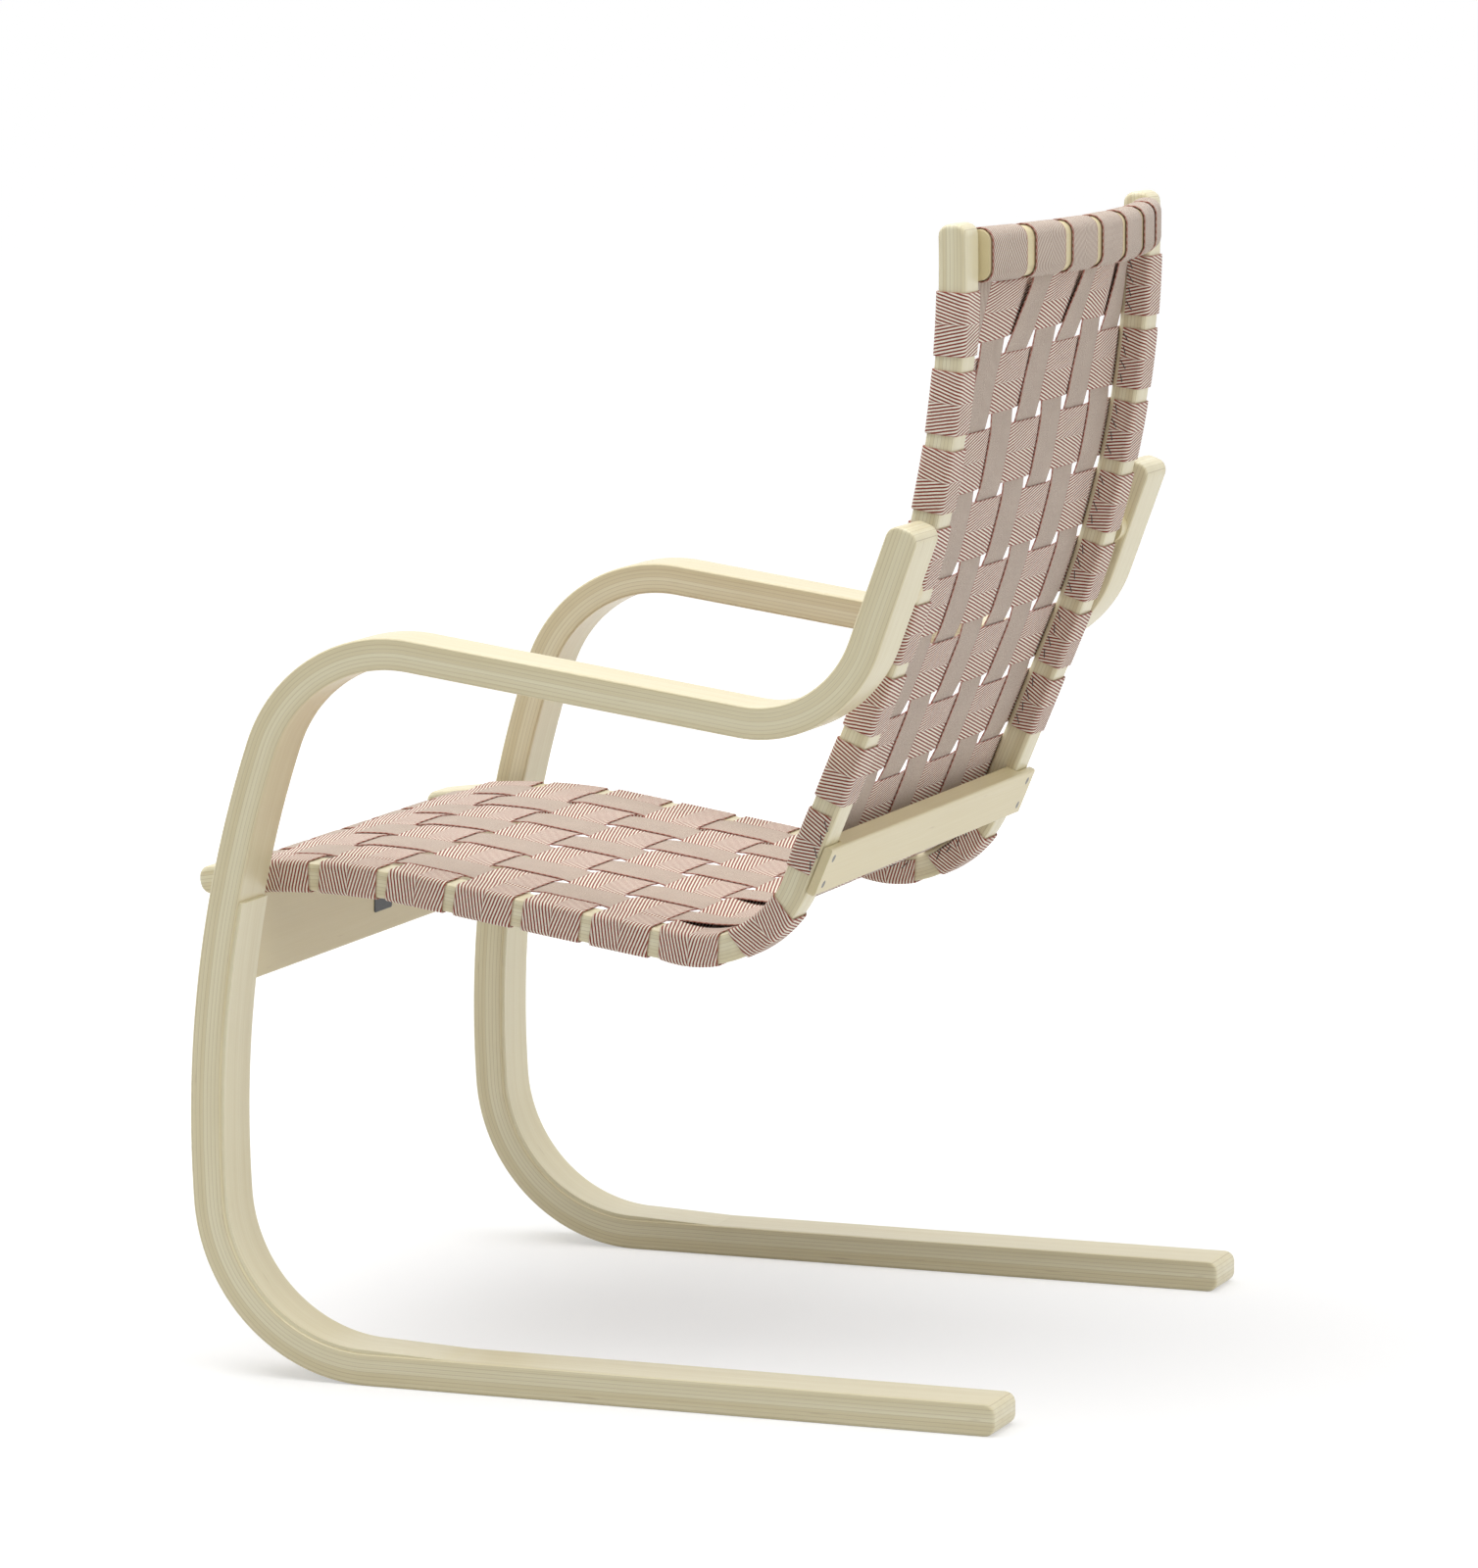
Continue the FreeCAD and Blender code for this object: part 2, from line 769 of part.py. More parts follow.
def build():
    """All pieces, each under the name of its node."""
    bolts = {side: arm_bolt(side) for side in (1, -1)}
    stretcher_pins = {side: leg_dowels(side) for side in (1, -1)}
    seat_pins = {side: seat_dowel(side) for side in (1, -1)}
    cross_pins = {side: cross_rail_dowels(side) for side in (1, -1)}
    bar_screws = {side: crossbar_screws(side) for side in (1, -1)}

    nodes = {}
    for name, side in (("left", 1), ("right", -1)):
        band_x = arm_inner_x if side > 0 else -overall_width / 2
        rail_x = rail_inner_x if side > 0 else -rail_outer_x
        leg_bores = [bolts[side]] + stretcher_pins[side]
        rail_bores = [bolts[side], seat_pins[side]] + cross_pins[side] + bar_screws[side]
        nodes[name + "_side_frame"] = side_frame(band_x, leg_bores)
        nodes[name + "_leg_ply"] = inner_ply(band_x, [])
        nodes[name + "_seat_rail"] = rail(rail_x, rail_bores)
        nodes[name + "_arm_spacer"] = arm_spacer(side, bolts[side])
    nodes["front_cross_rail"] = front_cross_rail([cross_pins[1][0], cross_pins[-1][0]])
    nodes["top_cross_rail"] = top_cross_rail([cross_pins[1][1], cross_pins[-1][1]])
    all_leg_pins = stretcher_pins[1] + stretcher_pins[-1]
    nodes["front_stretcher"] = stretcher(all_leg_pins + [seat_pins[1], seat_pins[-1]])
    nodes["rear_crossbar"] = rear_crossbar(bar_screws[1] + bar_screws[-1])
    for index, station in enumerate(weft_stations()):
        nodes["weft_belt_%02d" % (index + 1)] = weft_belt(station, index)
    for index, x in enumerate(warp_centres()):
        nodes["warp_belt_%d" % (index + 1)] = warp_belt(index, x)
    nodes["arm_bolts"] = Part.makeCompound([bolts[1], bolts[-1]])
    nodes["stretcher_dowels"] = Part.makeCompound(all_leg_pins)
    nodes["seat_dowels"] = Part.makeCompound([seat_pins[1], seat_pins[-1]])
    nodes["cross_rail_dowels"] = Part.makeCompound(cross_pins[1] + cross_pins[-1])
    nodes["crossbar_screws"] = Part.makeCompound(bar_screws[1] + bar_screws[-1])
    nodes["weft_staples"] = Part.makeCompound(weft_staples(1) + weft_staples(-1))
    return nodes


def main():
    """Build the chair, centre it front to rear over its origin and write the files."""
    nodes = build()
    box = Part.makeCompound(list(nodes.values())).optimalBoundingBox()
    shift = Vector(0, -(box.YMin + box.YMax) / 2, -box.ZMin)
    os.makedirs("parts", exist_ok=True)
    for name, shape in nodes.items():
        shape.translate(shift)
        shape.exportStep("parts/%s.step" % name)
        print("%-22s solids %2d  valid %s  volume %.0f" % (
            name, len(shape.Solids), shape.isValid(), shape.Volume))
    print("moved by", shift, "size", box.XLength, box.YLength, box.ZLength)


main()
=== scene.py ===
import math

import bpy
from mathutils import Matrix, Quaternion, Vector


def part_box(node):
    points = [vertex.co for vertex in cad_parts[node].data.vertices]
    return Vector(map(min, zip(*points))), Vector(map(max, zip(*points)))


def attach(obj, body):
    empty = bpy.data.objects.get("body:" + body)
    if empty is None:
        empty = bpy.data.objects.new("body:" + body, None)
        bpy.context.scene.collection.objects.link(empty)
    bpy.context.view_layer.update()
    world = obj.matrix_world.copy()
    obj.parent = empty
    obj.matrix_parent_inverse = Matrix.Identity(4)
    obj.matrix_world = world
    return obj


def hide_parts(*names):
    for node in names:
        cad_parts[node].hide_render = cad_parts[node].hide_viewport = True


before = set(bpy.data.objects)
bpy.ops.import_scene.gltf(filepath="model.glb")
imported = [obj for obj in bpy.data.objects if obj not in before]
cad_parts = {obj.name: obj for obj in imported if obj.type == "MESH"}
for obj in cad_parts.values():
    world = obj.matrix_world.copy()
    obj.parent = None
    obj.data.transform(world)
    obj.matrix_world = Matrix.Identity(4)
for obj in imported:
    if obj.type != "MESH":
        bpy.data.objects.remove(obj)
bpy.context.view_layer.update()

# Woven lounge chair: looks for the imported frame. Metres, +Z up, -Y the front, +X the
# sitter's left. Sizes below are in millimetres. Those of the wood repeat the driving sizes
# of the source, and the belts' pitch, width and tails are set a little nearer the photo's.
MM = 0.001
BODY = "root"

# Side frame: the band's centre line is a chain of runs and tangent arcs.
OVERALL_WIDTH = 600.0
BAND_WIDTH = 50.0
BAND_THICKNESS = 24.0
SIDE_START = (634.0, 12.0, 180.0)
SIDE_PATH = (
    ("run", 492.0), ("arc", 128.0, -86.3), ("arc", 880.0, -22.7),
    ("arc", 109.0, -79.0), ("run", 261.0), ("arc", 88.0, 78.1), ("run", 92.0),
)
BAND_PLY = 3.0
BAND_EDGE_ROUND = 2.0
RUNNER_END_ROUND = 8.0
ARM_END_ROUND = 9.5
VENEER_THICKNESS = 3.0
VENEER_FEATHER = 70.0
VENEER_TOP_HEIGHT = 360.0
VENEER_SUNK = 1.0

# Seat and back rail.
RAIL_OUTER_X = 235.0
RAIL_WIDTH = 31.0
RAIL_THICKNESS = 21.5
RAIL_PLY = 2.69
RAIL_START = (-20.4, 361.8, 9.8)
RAIL_PATH = (
    ("arc", 549.0, -18.4), ("run", 213.0), ("arc", 84.0, 76.2), ("run", 153.0),
    ("arc", 817.0, 24.7),
)
RAIL_EDGE_ROUND = 3.5
RAIL_END_ROUND = 9.0
FRONT_RAIL_STATION = 38.0
FRONT_RAIL_DEPTH = 30.0
FRONT_RAIL_THICKNESS = 16.5
FRONT_RAIL_ROUND = 6.0
TOP_RAIL_DROP = 24.0
TOP_RAIL_HEIGHT = 37.0
TOP_RAIL_THICKNESS = 21.0
TOP_RAIL_ROUND = 9.0
TOP_RAIL_BOW = 27.0
TOP_RAIL_SETBACK = 7.5

# Webbing.
BELT_WIDTH = 46.5
BELT_THICKNESS = 1.2
WEAVE_STEP = 0.85
CROSSING_FLAT = 34.0
PATH_STEP = 3.0
RAIL_CLEARANCE = 0.4
WARP_COUNT = 7
WARP_PITCH = 58.9
WARP_WIDTH = 48.0
SEAT_WEFT_COUNT = 7
SEAT_WEFT_START = 67.6
SEAT_WEFT_PITCH = 55.0
BEND_WEFT_STATION = 460.0
BACK_WEFT_COUNT = 8
BACK_WEFT_TOP_DROP = 72.0
BACK_WEFT_PITCH = 56.7
BOW_REACH = 135.0
TAIL_LENGTH = 18.0
WEFT_CORNER = 4.0
BEND_TWIST_REACH = 42.0
BEND_TWISTS = (-1.5, -1.0, -2.0, -1.5, -3.0, -1.5, -3.5)
TOP_TWIST_REACH = 46.0
TOP_TWISTS = (2.0, 0.0, 2.5, 0.0, 3.0, 0.0, 2.5)
STAPLES_PER_TAIL = 4
STAPLE_CROWN = 6.0
STAPLE_WIRE = 0.8
STAPLE_SPACING = BELT_WIDTH / 4.4
STUD_DIAMETER = 8.0

# Blank plate on the front stretcher, and the camera.
PLATE_LENGTH = 34.0
PLATE_HEIGHT = 21.0
PLATE_MIDDLE = 319.5
CAMERA_LENS = 170.46
CAMERA_AZIMUTH = 110.525
CAMERA_ELEVATION = 7.79
CAMERA_PLACE = (5265.6, 2296.8, 1191.35)

HALF_RAIL = RAIL_THICKNESS / 2
RAIL_INNER_X = RAIL_OUTER_X - RAIL_WIDTH
BELT_GAP = RAIL_CLEARANCE + BELT_THICKNESS / 2
WEAVE_LEVEL = HALF_RAIL + BELT_GAP
WRAP_TURN = 15.0
NO_SAG = Vector((0.0, 0.0, 0.0))

# The frame is centred front to rear over its origin, so the side view is moved by this.
Y_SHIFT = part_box("left_side_frame")[1].y / MM - SIDE_START[0]


# Side view paths.
class Path:
    """A side view path of runs and tangent arcs, with stations in millimetres."""

    def __init__(self, start, pieces):
        self.pieces = []
        self.length = 0.0
        pose = start
        for piece in pieces:
            if piece[0] == "run":
                length, rate = piece[1], 0.0
            else:
                length = abs(math.radians(piece[2])) * piece[1]
                rate = math.copysign(math.degrees(1.0 / piece[1]), piece[2])
            self.pieces.append((self.length, length, rate, pose))
            self.length += length
            pose = advance(pose, length, rate)

    def at(self, station):
        """The y, z and heading at a station. Past the ends the path goes on as it was."""
        for first, length, rate, pose in self.pieces:
            if station <= first + length:
                break
        return advance(pose, station - first, rate)

    def turn_rate(self, station):
        """Degrees that the heading turns in a millimetre."""
        for first, length, rate, pose in self.pieces:
            if station <= first + length:
                break
        return rate

    def marks(self, first, last, spacing):
        """Stations between two limits: every joint, and points on the arcs."""
        found = [first]
        for begin, length, rate, pose in self.pieces:
            low, high = max(first, begin), min(last, begin + length)
            if high - low < 0.01:
                continue
            count = max(1, math.ceil((high - low) / (spacing if rate else 4 * spacing)))
            found += [low + (high - low) * i / count for i in range(1, count + 1)]
        return found


def advance(pose, distance, rate):
    """Moves a y, z, heading pose along a run or an arc."""
    y, z, heading = pose
    angle = math.radians(heading)
    if rate == 0.0:
        return (y + distance * math.cos(angle), z + distance * math.sin(angle), heading)
    radius = math.degrees(1.0 / rate)
    turned = angle + math.radians(rate * distance)
    return (
        y + radius * (math.sin(turned) - math.sin(angle)),
        z - radius * (math.cos(turned) - math.cos(angle)),
        heading + rate * distance,
    )


def place(pose, offset, x):
    """The point at an offset to the left of a pose, in metres in the chair's frame."""
    y, z, heading = pose
    angle = math.radians(heading)
    return Vector((x, y - offset * math.sin(angle) + Y_SHIFT, z + offset * math.cos(angle))) * MM


side_path = Path(SIDE_START, SIDE_PATH)
rail_path = Path(RAIL_START, RAIL_PATH)


# Node tree helper.
class Tree:
    """Adds nodes to a tree, with their inputs given by name or by index."""

    def __init__(self, tree):
        self.tree = tree
        self.column = 0

    def add(self, kind, settings=None, **inputs):
        node = self.tree.nodes.new(kind)
        node.location = (self.column * 180, 0)
        self.column += 1
        for key, value in (settings or {}).items():
            setattr(node, key, value)
        for key, value in inputs.items():
            name = key.replace("_", " ")
            spot = int(key[1:]) if key[0] == "i" and key[1:].isdigit() else None
            socket = node.inputs[spot] if spot is not None else node.inputs[name]
            self.put(socket, value)
        return node

    def put(self, socket, value):
        """Links an output, or sets a plain value."""
        if isinstance(value, bpy.types.NodeSocket):
            self.tree.links.new(value, socket)
        elif isinstance(value, bpy.types.Node):
            self.tree.links.new(value.outputs[0], socket)
        else:
            socket.default_value = value

    def math(self, operation, a, b=0.0, c=0.0, clamp=False):
        node = self.add("ShaderNodeMath", {"operation": operation, "use_clamp": clamp}, i0=a, i1=b)
        if operation in ("MULTIPLY_ADD", "SMOOTH_MIN", "COMPARE"):
            self.put(node.inputs[2], c)
        return node.outputs[0]

    def vector(self, operation, a, b=None, scale=None):
        node = self.add("ShaderNodeVectorMath", {"operation": operation}, i0=a)
        if b is not None:
            self.put(node.inputs[1], b)
        if scale is not None:
            self.put(node.inputs["Scale"], scale)
        return node.outputs[0]

    def blend(self, factor, a, b, mode="MIX"):
        node = self.add("ShaderNodeMix", {"data_type": "RGBA", "blend_type": mode})
        self.put(node.inputs[0], factor)
        self.put(node.inputs[6], a)
        self.put(node.inputs[7], b)
        return node.outputs[2]

    def ramp(self, value, low, high, to_low=0.0, to_high=1.0, smooth=False):
        kind = "SMOOTHSTEP" if smooth else "LINEAR"
        node = self.add("ShaderNodeMapRange", {"interpolation_type": kind}, i0=value, i1=low,
                        i2=high, i3=to_low, i4=to_high)
        return node.outputs[0]


def rgb(red, green, blue):
    """An sRGB colour from 0 to 255 as the linear colour that a socket takes."""
    linear = []
    for value in (red, green, blue):
        v = value / 255.0
        linear.append(v / 12.92 if v <= 0.04045 else ((v + 0.055) / 1.055) ** 2.4)
    return (*linear, 1.0)


def new_material(name):
    """An empty node material, its tree helper and its shader."""
    material = bpy.data.materials.new(name)
    material.use_nodes = True
    material.node_tree.nodes.clear()
    tree = Tree(material.node_tree)
    shader = tree.add("ShaderNodeBsdfPrincipled")
    tree.add("ShaderNodeOutputMaterial", Surface=shader)
    return material, tree, shader


# Finishes.
def birch(name, ply, seed, bent=True, figure=1.0, light=rgb(234, 228, 199),
          dark=rgb(209, 195, 153)):
    """Lacquered birch. The grain is along, through the plies and across: a bent piece
    carries it as an attribute, and a board's grain runs along X."""
    material, tree, shader = new_material(name)
    if bent:
        grain = tree.add("ShaderNodeAttribute", {"attribute_name": "grain"}).outputs["Vector"]
    else:
        grain = tree.add("ShaderNodeTexCoord").outputs["Object"]
    parts = tree.add("ShaderNodeSeparateXYZ", i0=grain)
    along, through, across = parts.outputs

    # Long fibres: noise stretched along the grain, in a fine and a broad set.
    fibre_place = tree.vector("MULTIPLY", grain, (9.0, 900.0, 900.0))
    fibre = tree.add("ShaderNodeTexNoise", {"noise_dimensions": "4D"}, Vector=fibre_place,
                     W=seed, Scale=1.0, Detail=3.0, Roughness=0.6).outputs[0]
    broad_place = tree.vector("MULTIPLY", grain, (2.2, 120.0, 70.0))
    broad = tree.add("ShaderNodeTexNoise", {"noise_dimensions": "4D"}, Vector=broad_place,
                     W=seed + 3.0, Scale=1.0, Detail=4.0, Roughness=0.55,
                     Distortion=0.4).outputs[0]
    # Plies: each has its own tone, and a thin darker glue line lies between them.
    step = tree.math("ADD", tree.math("DIVIDE", through, ply * MM), 0.5)
    wave = tree.add("ShaderNodeTexNoise", Vector=tree.vector("MULTIPLY", grain, (14.0, 0.0, 30.0)),
                    Scale=1.0, Detail=2.0).outputs[0]
    step = tree.math("ADD", step, tree.math("MULTIPLY", wave, 0.22))
    index = tree.math("FLOOR", step)
    tone = tree.add("ShaderNodeTexWhiteNoise", {"noise_dimensions": "2D"},
                    Vector=tree.add("ShaderNodeCombineXYZ", X=index, Y=seed)).outputs[0]
    within = tree.math("FRACT", step)
    edge = tree.math("MINIMUM", within, tree.math("SUBTRACT", 1.0, within))
    glue = tree.ramp(edge, 0.0, 0.09, 1.0, 0.0, smooth=True)
    # Small dark flecks, long along the grain.
    fleck_place = tree.vector("MULTIPLY", grain, (30.0, 330.0, 330.0))
    fleck = tree.add("ShaderNodeTexNoise", {"noise_dimensions": "4D"}, Vector=fleck_place,
                     W=seed + 8.0, Scale=1.0, Detail=1.0).outputs[0]
    fleck = tree.ramp(fleck, 0.70, 0.80, 0.0, 0.55, smooth=True)

    mixed = tree.math("MULTIPLY", tree.math("SUBTRACT", tone, 0.5), 0.50 * figure)
    mixed = tree.math("MULTIPLY_ADD", tree.math("SUBTRACT", fibre, 0.5), 0.60 * figure, mixed)
    mixed = tree.math("MULTIPLY_ADD", tree.math("SUBTRACT", broad, 0.5), 0.80 * figure, mixed)
    factor = tree.ramp(mixed, -0.42, 0.42, 0.0, 1.0)
    colour = tree.blend(factor, light, dark)
    colour = tree.blend(tree.math("MULTIPLY", glue, 0.50 * figure), colour, rgb(158, 134, 92))
    colour = tree.blend(tree.math("MULTIPLY", fleck, 0.5), colour, rgb(158, 130, 90))
    tree.put(shader.inputs["Base Color"], colour)

    relief = tree.math("MULTIPLY_ADD", fibre, 0.6, tree.math("MULTIPLY", glue, -0.3))
    bump = tree.add("ShaderNodeBump", Strength=0.12, Distance=0.0004, Height=relief)
    tree.put(shader.inputs["Normal"], bump)
    rough = tree.ramp(fibre, 0.3, 0.7, 0.34, 0.46)
    tree.put(shader.inputs["Roughness"], rough)
    shader.inputs["IOR"].default_value = 1.46
    shader.inputs["Coat Weight"].default_value = 0.25
    shader.inputs["Coat Roughness"].default_value = 0.22
    return material


def webbing(name, stripe, lie, red, pale, soft, seed):
    """Herringbone webbing. Fine twill stripes lean away from the belt's centre line.

    Stripe is the repeat across the belt and lie the repeat along it, in millimetres;
    soft is how far the two yarns run into each other, from 0 to 0.5."""
    material, tree, shader = new_material(name)
    uv = tree.add("ShaderNodeUVMap", {"uv_map": "webbing"})
    parts = tree.add("ShaderNodeSeparateXYZ", i0=uv)
    along, across = parts.outputs[0], parts.outputs[1]
    half = tree.math("ABSOLUTE", across)
    loose = tree.add("ShaderNodeTexNoise", {"noise_dimensions": "4D"}, Vector=uv, W=seed,
                     Scale=170.0, Detail=2.0).outputs[0]
    loose = tree.math("MULTIPLY_ADD", loose, 0.16, -0.08)

    # The twill: red yarn floats and pale yarn floats take turns along each stripe.
    side = tree.math("GREATER_THAN", across, 0.0)
    phase = tree.math("DIVIDE", half, stripe * MM)
    phase = tree.math("ADD", phase, tree.math("DIVIDE", along, lie * MM))
    phase = tree.math("ADD", phase, tree.math("MULTIPLY_ADD", side, 0.5, loose))
    swing = tree.math("SINE", tree.math("MULTIPLY", phase, 2 * math.pi))
    floats = tree.ramp(swing, -2.0 * soft - 0.20, 2.0 * soft + 0.08, 0.0, 1.0, smooth=True)

    # Yarns: the belt's long yarns are finer, and the picks cross them.
    end_place = tree.math("DIVIDE", half, stripe * 0.25 * MM)
    pick_place = tree.math("DIVIDE", along, 0.55 * MM)
    end_round = tree.math("ABSOLUTE", tree.math("SINE", tree.math("MULTIPLY", end_place, math.pi)))
    pick_round = tree.math("ABSOLUTE",
                           tree.math("SINE", tree.math("MULTIPLY", pick_place, math.pi)))
    height = tree.math("MULTIPLY_ADD", end_round, 0.5, tree.math("MULTIPLY", pick_round, 0.5))
    height = tree.math("MULTIPLY_ADD", tree.math("ABSOLUTE", swing), 0.7, height)
    cell = tree.add("ShaderNodeCombineXYZ", X=tree.math("FLOOR", end_place),
                    Y=tree.math("FLOOR", pick_place), Z=seed)
    odd = tree.add("ShaderNodeTexWhiteNoise", {"noise_dimensions": "3D"}, Vector=cell).outputs[0]
    fuzz = tree.add("ShaderNodeTexNoise", Vector=uv, Scale=1900.0, Detail=3.0).outputs[0]
    worn = tree.add("ShaderNodeTexNoise", Vector=uv, Scale=38.0, Detail=3.0).outputs[0]

    colour = tree.blend(floats, red, pale)
    # Painted shade: the low places between the yarns are darker. The tone also differs at random per
    # yarn cell and with the fuzz and worn noise.
    yarn_hollow_shade_and_tone = tree.ramp(height, 0.0, 1.1, 0.80, 1.0)
    yarn_hollow_shade_and_tone = tree.math("MULTIPLY", yarn_hollow_shade_and_tone, tree.ramp(odd, 0.0, 1.0, 0.94, 1.05))
    yarn_hollow_shade_and_tone = tree.math("MULTIPLY", yarn_hollow_shade_and_tone, tree.ramp(fuzz, 0.3, 0.7, 0.94, 1.05))
    yarn_hollow_shade_and_tone = tree.math("MULTIPLY", yarn_hollow_shade_and_tone, tree.ramp(worn, 0.3, 0.7, 0.96, 1.04))
    shade = tree.add("ShaderNodeCombineColor", Red=yarn_hollow_shade_and_tone, Green=yarn_hollow_shade_and_tone, Blue=yarn_hollow_shade_and_tone)
    colour = tree.blend(1.0, colour, shade, "MULTIPLY")

    # The woven edge is a thin cord with a tick of dark red at every pick. The dark red band is partly
    # the cord's own colour and partly painted shade where the belts' edges meet.
    rim = tree.ramp(half, (BELT_WIDTH / 2 - 0.9) * MM, (BELT_WIDTH / 2 - 0.3) * MM, 0.0, 1.0)
    tick = tree.ramp(pick_round, 0.3, 0.8, 0.30, 0.80)
    colour = tree.blend(tree.math("MULTIPLY", rim, tick), colour, rgb(160, 80, 66))
    tree.put(shader.inputs["Base Color"], colour)
    relief = tree.math("MULTIPLY_ADD", fuzz, 0.5, height)
    bump = tree.add("ShaderNodeBump", Strength=0.45, Distance=0.0003, Height=relief)
    tree.put(shader.inputs["Normal"], bump)
    shader.inputs["Roughness"].default_value = 0.92
    shader.inputs["Specular IOR Level"].default_value = 0.25
    shader.inputs["Sheen Weight"].default_value = 0.20
    shader.inputs["Sheen Roughness"].default_value = 0.5
    return material


def plain_metal(name, colour, rough, metal=1.0):
    """Wire and screw metal with a faint uneven polish."""
    material, tree, shader = new_material(name)
    where = tree.add("ShaderNodeTexCoord").outputs["Object"]
    cloud = tree.add("ShaderNodeTexNoise", Vector=where, Scale=900.0, Detail=3.0).outputs[0]
    darker = tuple(v * 0.7 for v in colour[:3]) + (1.0,)
    tree.put(shader.inputs["Base Color"], tree.blend(cloud, darker, colour))
    tree.put(shader.inputs["Roughness"], tree.ramp(cloud, 0.3, 0.7, rough - 0.06, rough + 0.08))
    shader.inputs["Metallic"].default_value = metal
    return material


band_birch = birch("band_birch", BAND_PLY, 1.0)
rail_birch = birch("rail_birch", RAIL_PLY, 5.0)
# A veneer and a board have no glue line, so their ply is thicker than they are.
veneer_birch = birch("ply_birch", 7.0, 1.0)
board_birch = birch("board_birch", 1000.0, 13.0, bent=False, figure=0.32,
                    light=rgb(232, 221, 181), dark=rgb(208, 192, 147))
weft_cloth = webbing("weft_webbing", 2.6, 9.5, rgb(144, 68, 54), rgb(244, 237, 221), 0.04, 2.0)
warp_cloth = webbing("warp_webbing", 2.4, 5.0, rgb(154, 118, 102), rgb(222, 213, 198), 0.08, 4.0)
zinc = plain_metal("zinc_steel", rgb(128, 126, 122), 0.38)
dull_wire = plain_metal("dull_wire", rgb(98, 92, 88), 0.5, metal=0.6)
plate_dark = plain_metal("plate_dark", rgb(66, 70, 72), 0.45, metal=0.0)


# Wood bands.
def smooth_mesh(name, points, faces, material, grain=None):
    """A mesh piece at the origin with a finish, riding on the frame."""
    mesh = bpy.data.meshes.new(name)
    mesh.from_pydata([tuple(p) for p in points], [], faces)
    mesh.materials.append(material)
    mesh.shade_smooth()
    if grain is not None:
        layer = mesh.attributes.new("grain", "FLOAT_VECTOR", "POINT")
        for index, value in enumerate(grain):
            layer.data[index].vector = value
    piece = bpy.data.objects.new(name, mesh)
    bpy.context.scene.collection.objects.link(piece)
    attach(piece, BODY)
    return piece


def corner_shrink(distance, radius):
    """How far a rounded end pulls in a side at a distance from the end."""
    if distance >= radius:
        return 0.0
    return radius - math.sqrt(max(radius ** 2 - (radius - distance) ** 2, 0.0))


def section(width, low, high, radius):
    """Points round a rounded rectangle, with a support point beside each corner."""
    radius = max(min(radius, width / 2 - 0.05, (high - low) / 2 - 0.02), 0.005)
    room = max(min(0.7, width / 2 - radius, (high - low) / 2 - radius), 0.005)
    corners = (
        (width / 2 - radius, high - radius, 0.0), (-width / 2 + radius, high - radius, 90.0),
        (-width / 2 + radius, low + radius, 180.0), (width / 2 - radius, low + radius, 270.0),
    )
    points = []
    for a, b, begin in corners:
        for k in range(-1, 6):
            angle = math.radians(begin + 22.5 * min(max(k, 0), 4))
            slide = -room if k < 0 else room if k > 4 else 0.0
            points.append((a + radius * math.cos(angle) - slide * math.sin(angle),
                           b + radius * math.sin(angle) + slide * math.cos(angle)))
    return points


def band_piece(name, path, centre_x, width, low, high, rounds, edge, material,
               limits=None, thin=None):
    """A bent band: a rounded section carried along a path, with rounded ends."""
    first, last = limits or (0.0, path.length)
    stations = path.marks(first, last, 5.0)
    extra = []
    for size, origin, sign in ((rounds[0], first, 1.0), (rounds[1], last, -1.0)):
        extra += [origin + sign * size * (1 - math.cos(math.radians(a)))
                  for a in (18.0, 36.0, 54.0, 72.0, 90.0)]
    stations = sorted(set(round(s, 3) for s in stations + extra))
    points, grain, faces = [], [], []
    for station in stations:
        pull = max(corner_shrink(station - first, rounds[0]),
                   corner_shrink(last - station, rounds[1]))
        narrow = max(corner_shrink(station - first, edge), corner_shrink(last - station, edge))
        below, above = (low, high) if thin is None else thin(station)
        pose = path.at(station)
        for x, offset in section(width - 2 * narrow, below + pull, above - pull, edge):
            points.append(place(pose, offset, centre_x + x))
            grain.append((station * MM, offset * MM, x * MM))
    ring = len(points) // len(stations)
    for row in range(len(stations) - 1):
        for k in range(ring):
            a, b = row * ring + k, row * ring + (k + 1) % ring
            faces.append((a, b, b + ring, a + ring))
    faces.append(tuple(range(ring))[::-1])
    faces.append(tuple(range(len(points) - ring, len(points))))
    return smooth_mesh(name, points, faces, material, grain)


def leg_station(height):
    """The station where the side frame's centre line passes a height in the leg."""
    low, high = side_path.pieces[1][0], side_path.pieces[3][0]
    while high - low > 0.01:
        middle = (low + high) / 2
        if side_path.at(middle)[1] < height:
            low = middle
        else:
            high = middle
    return low


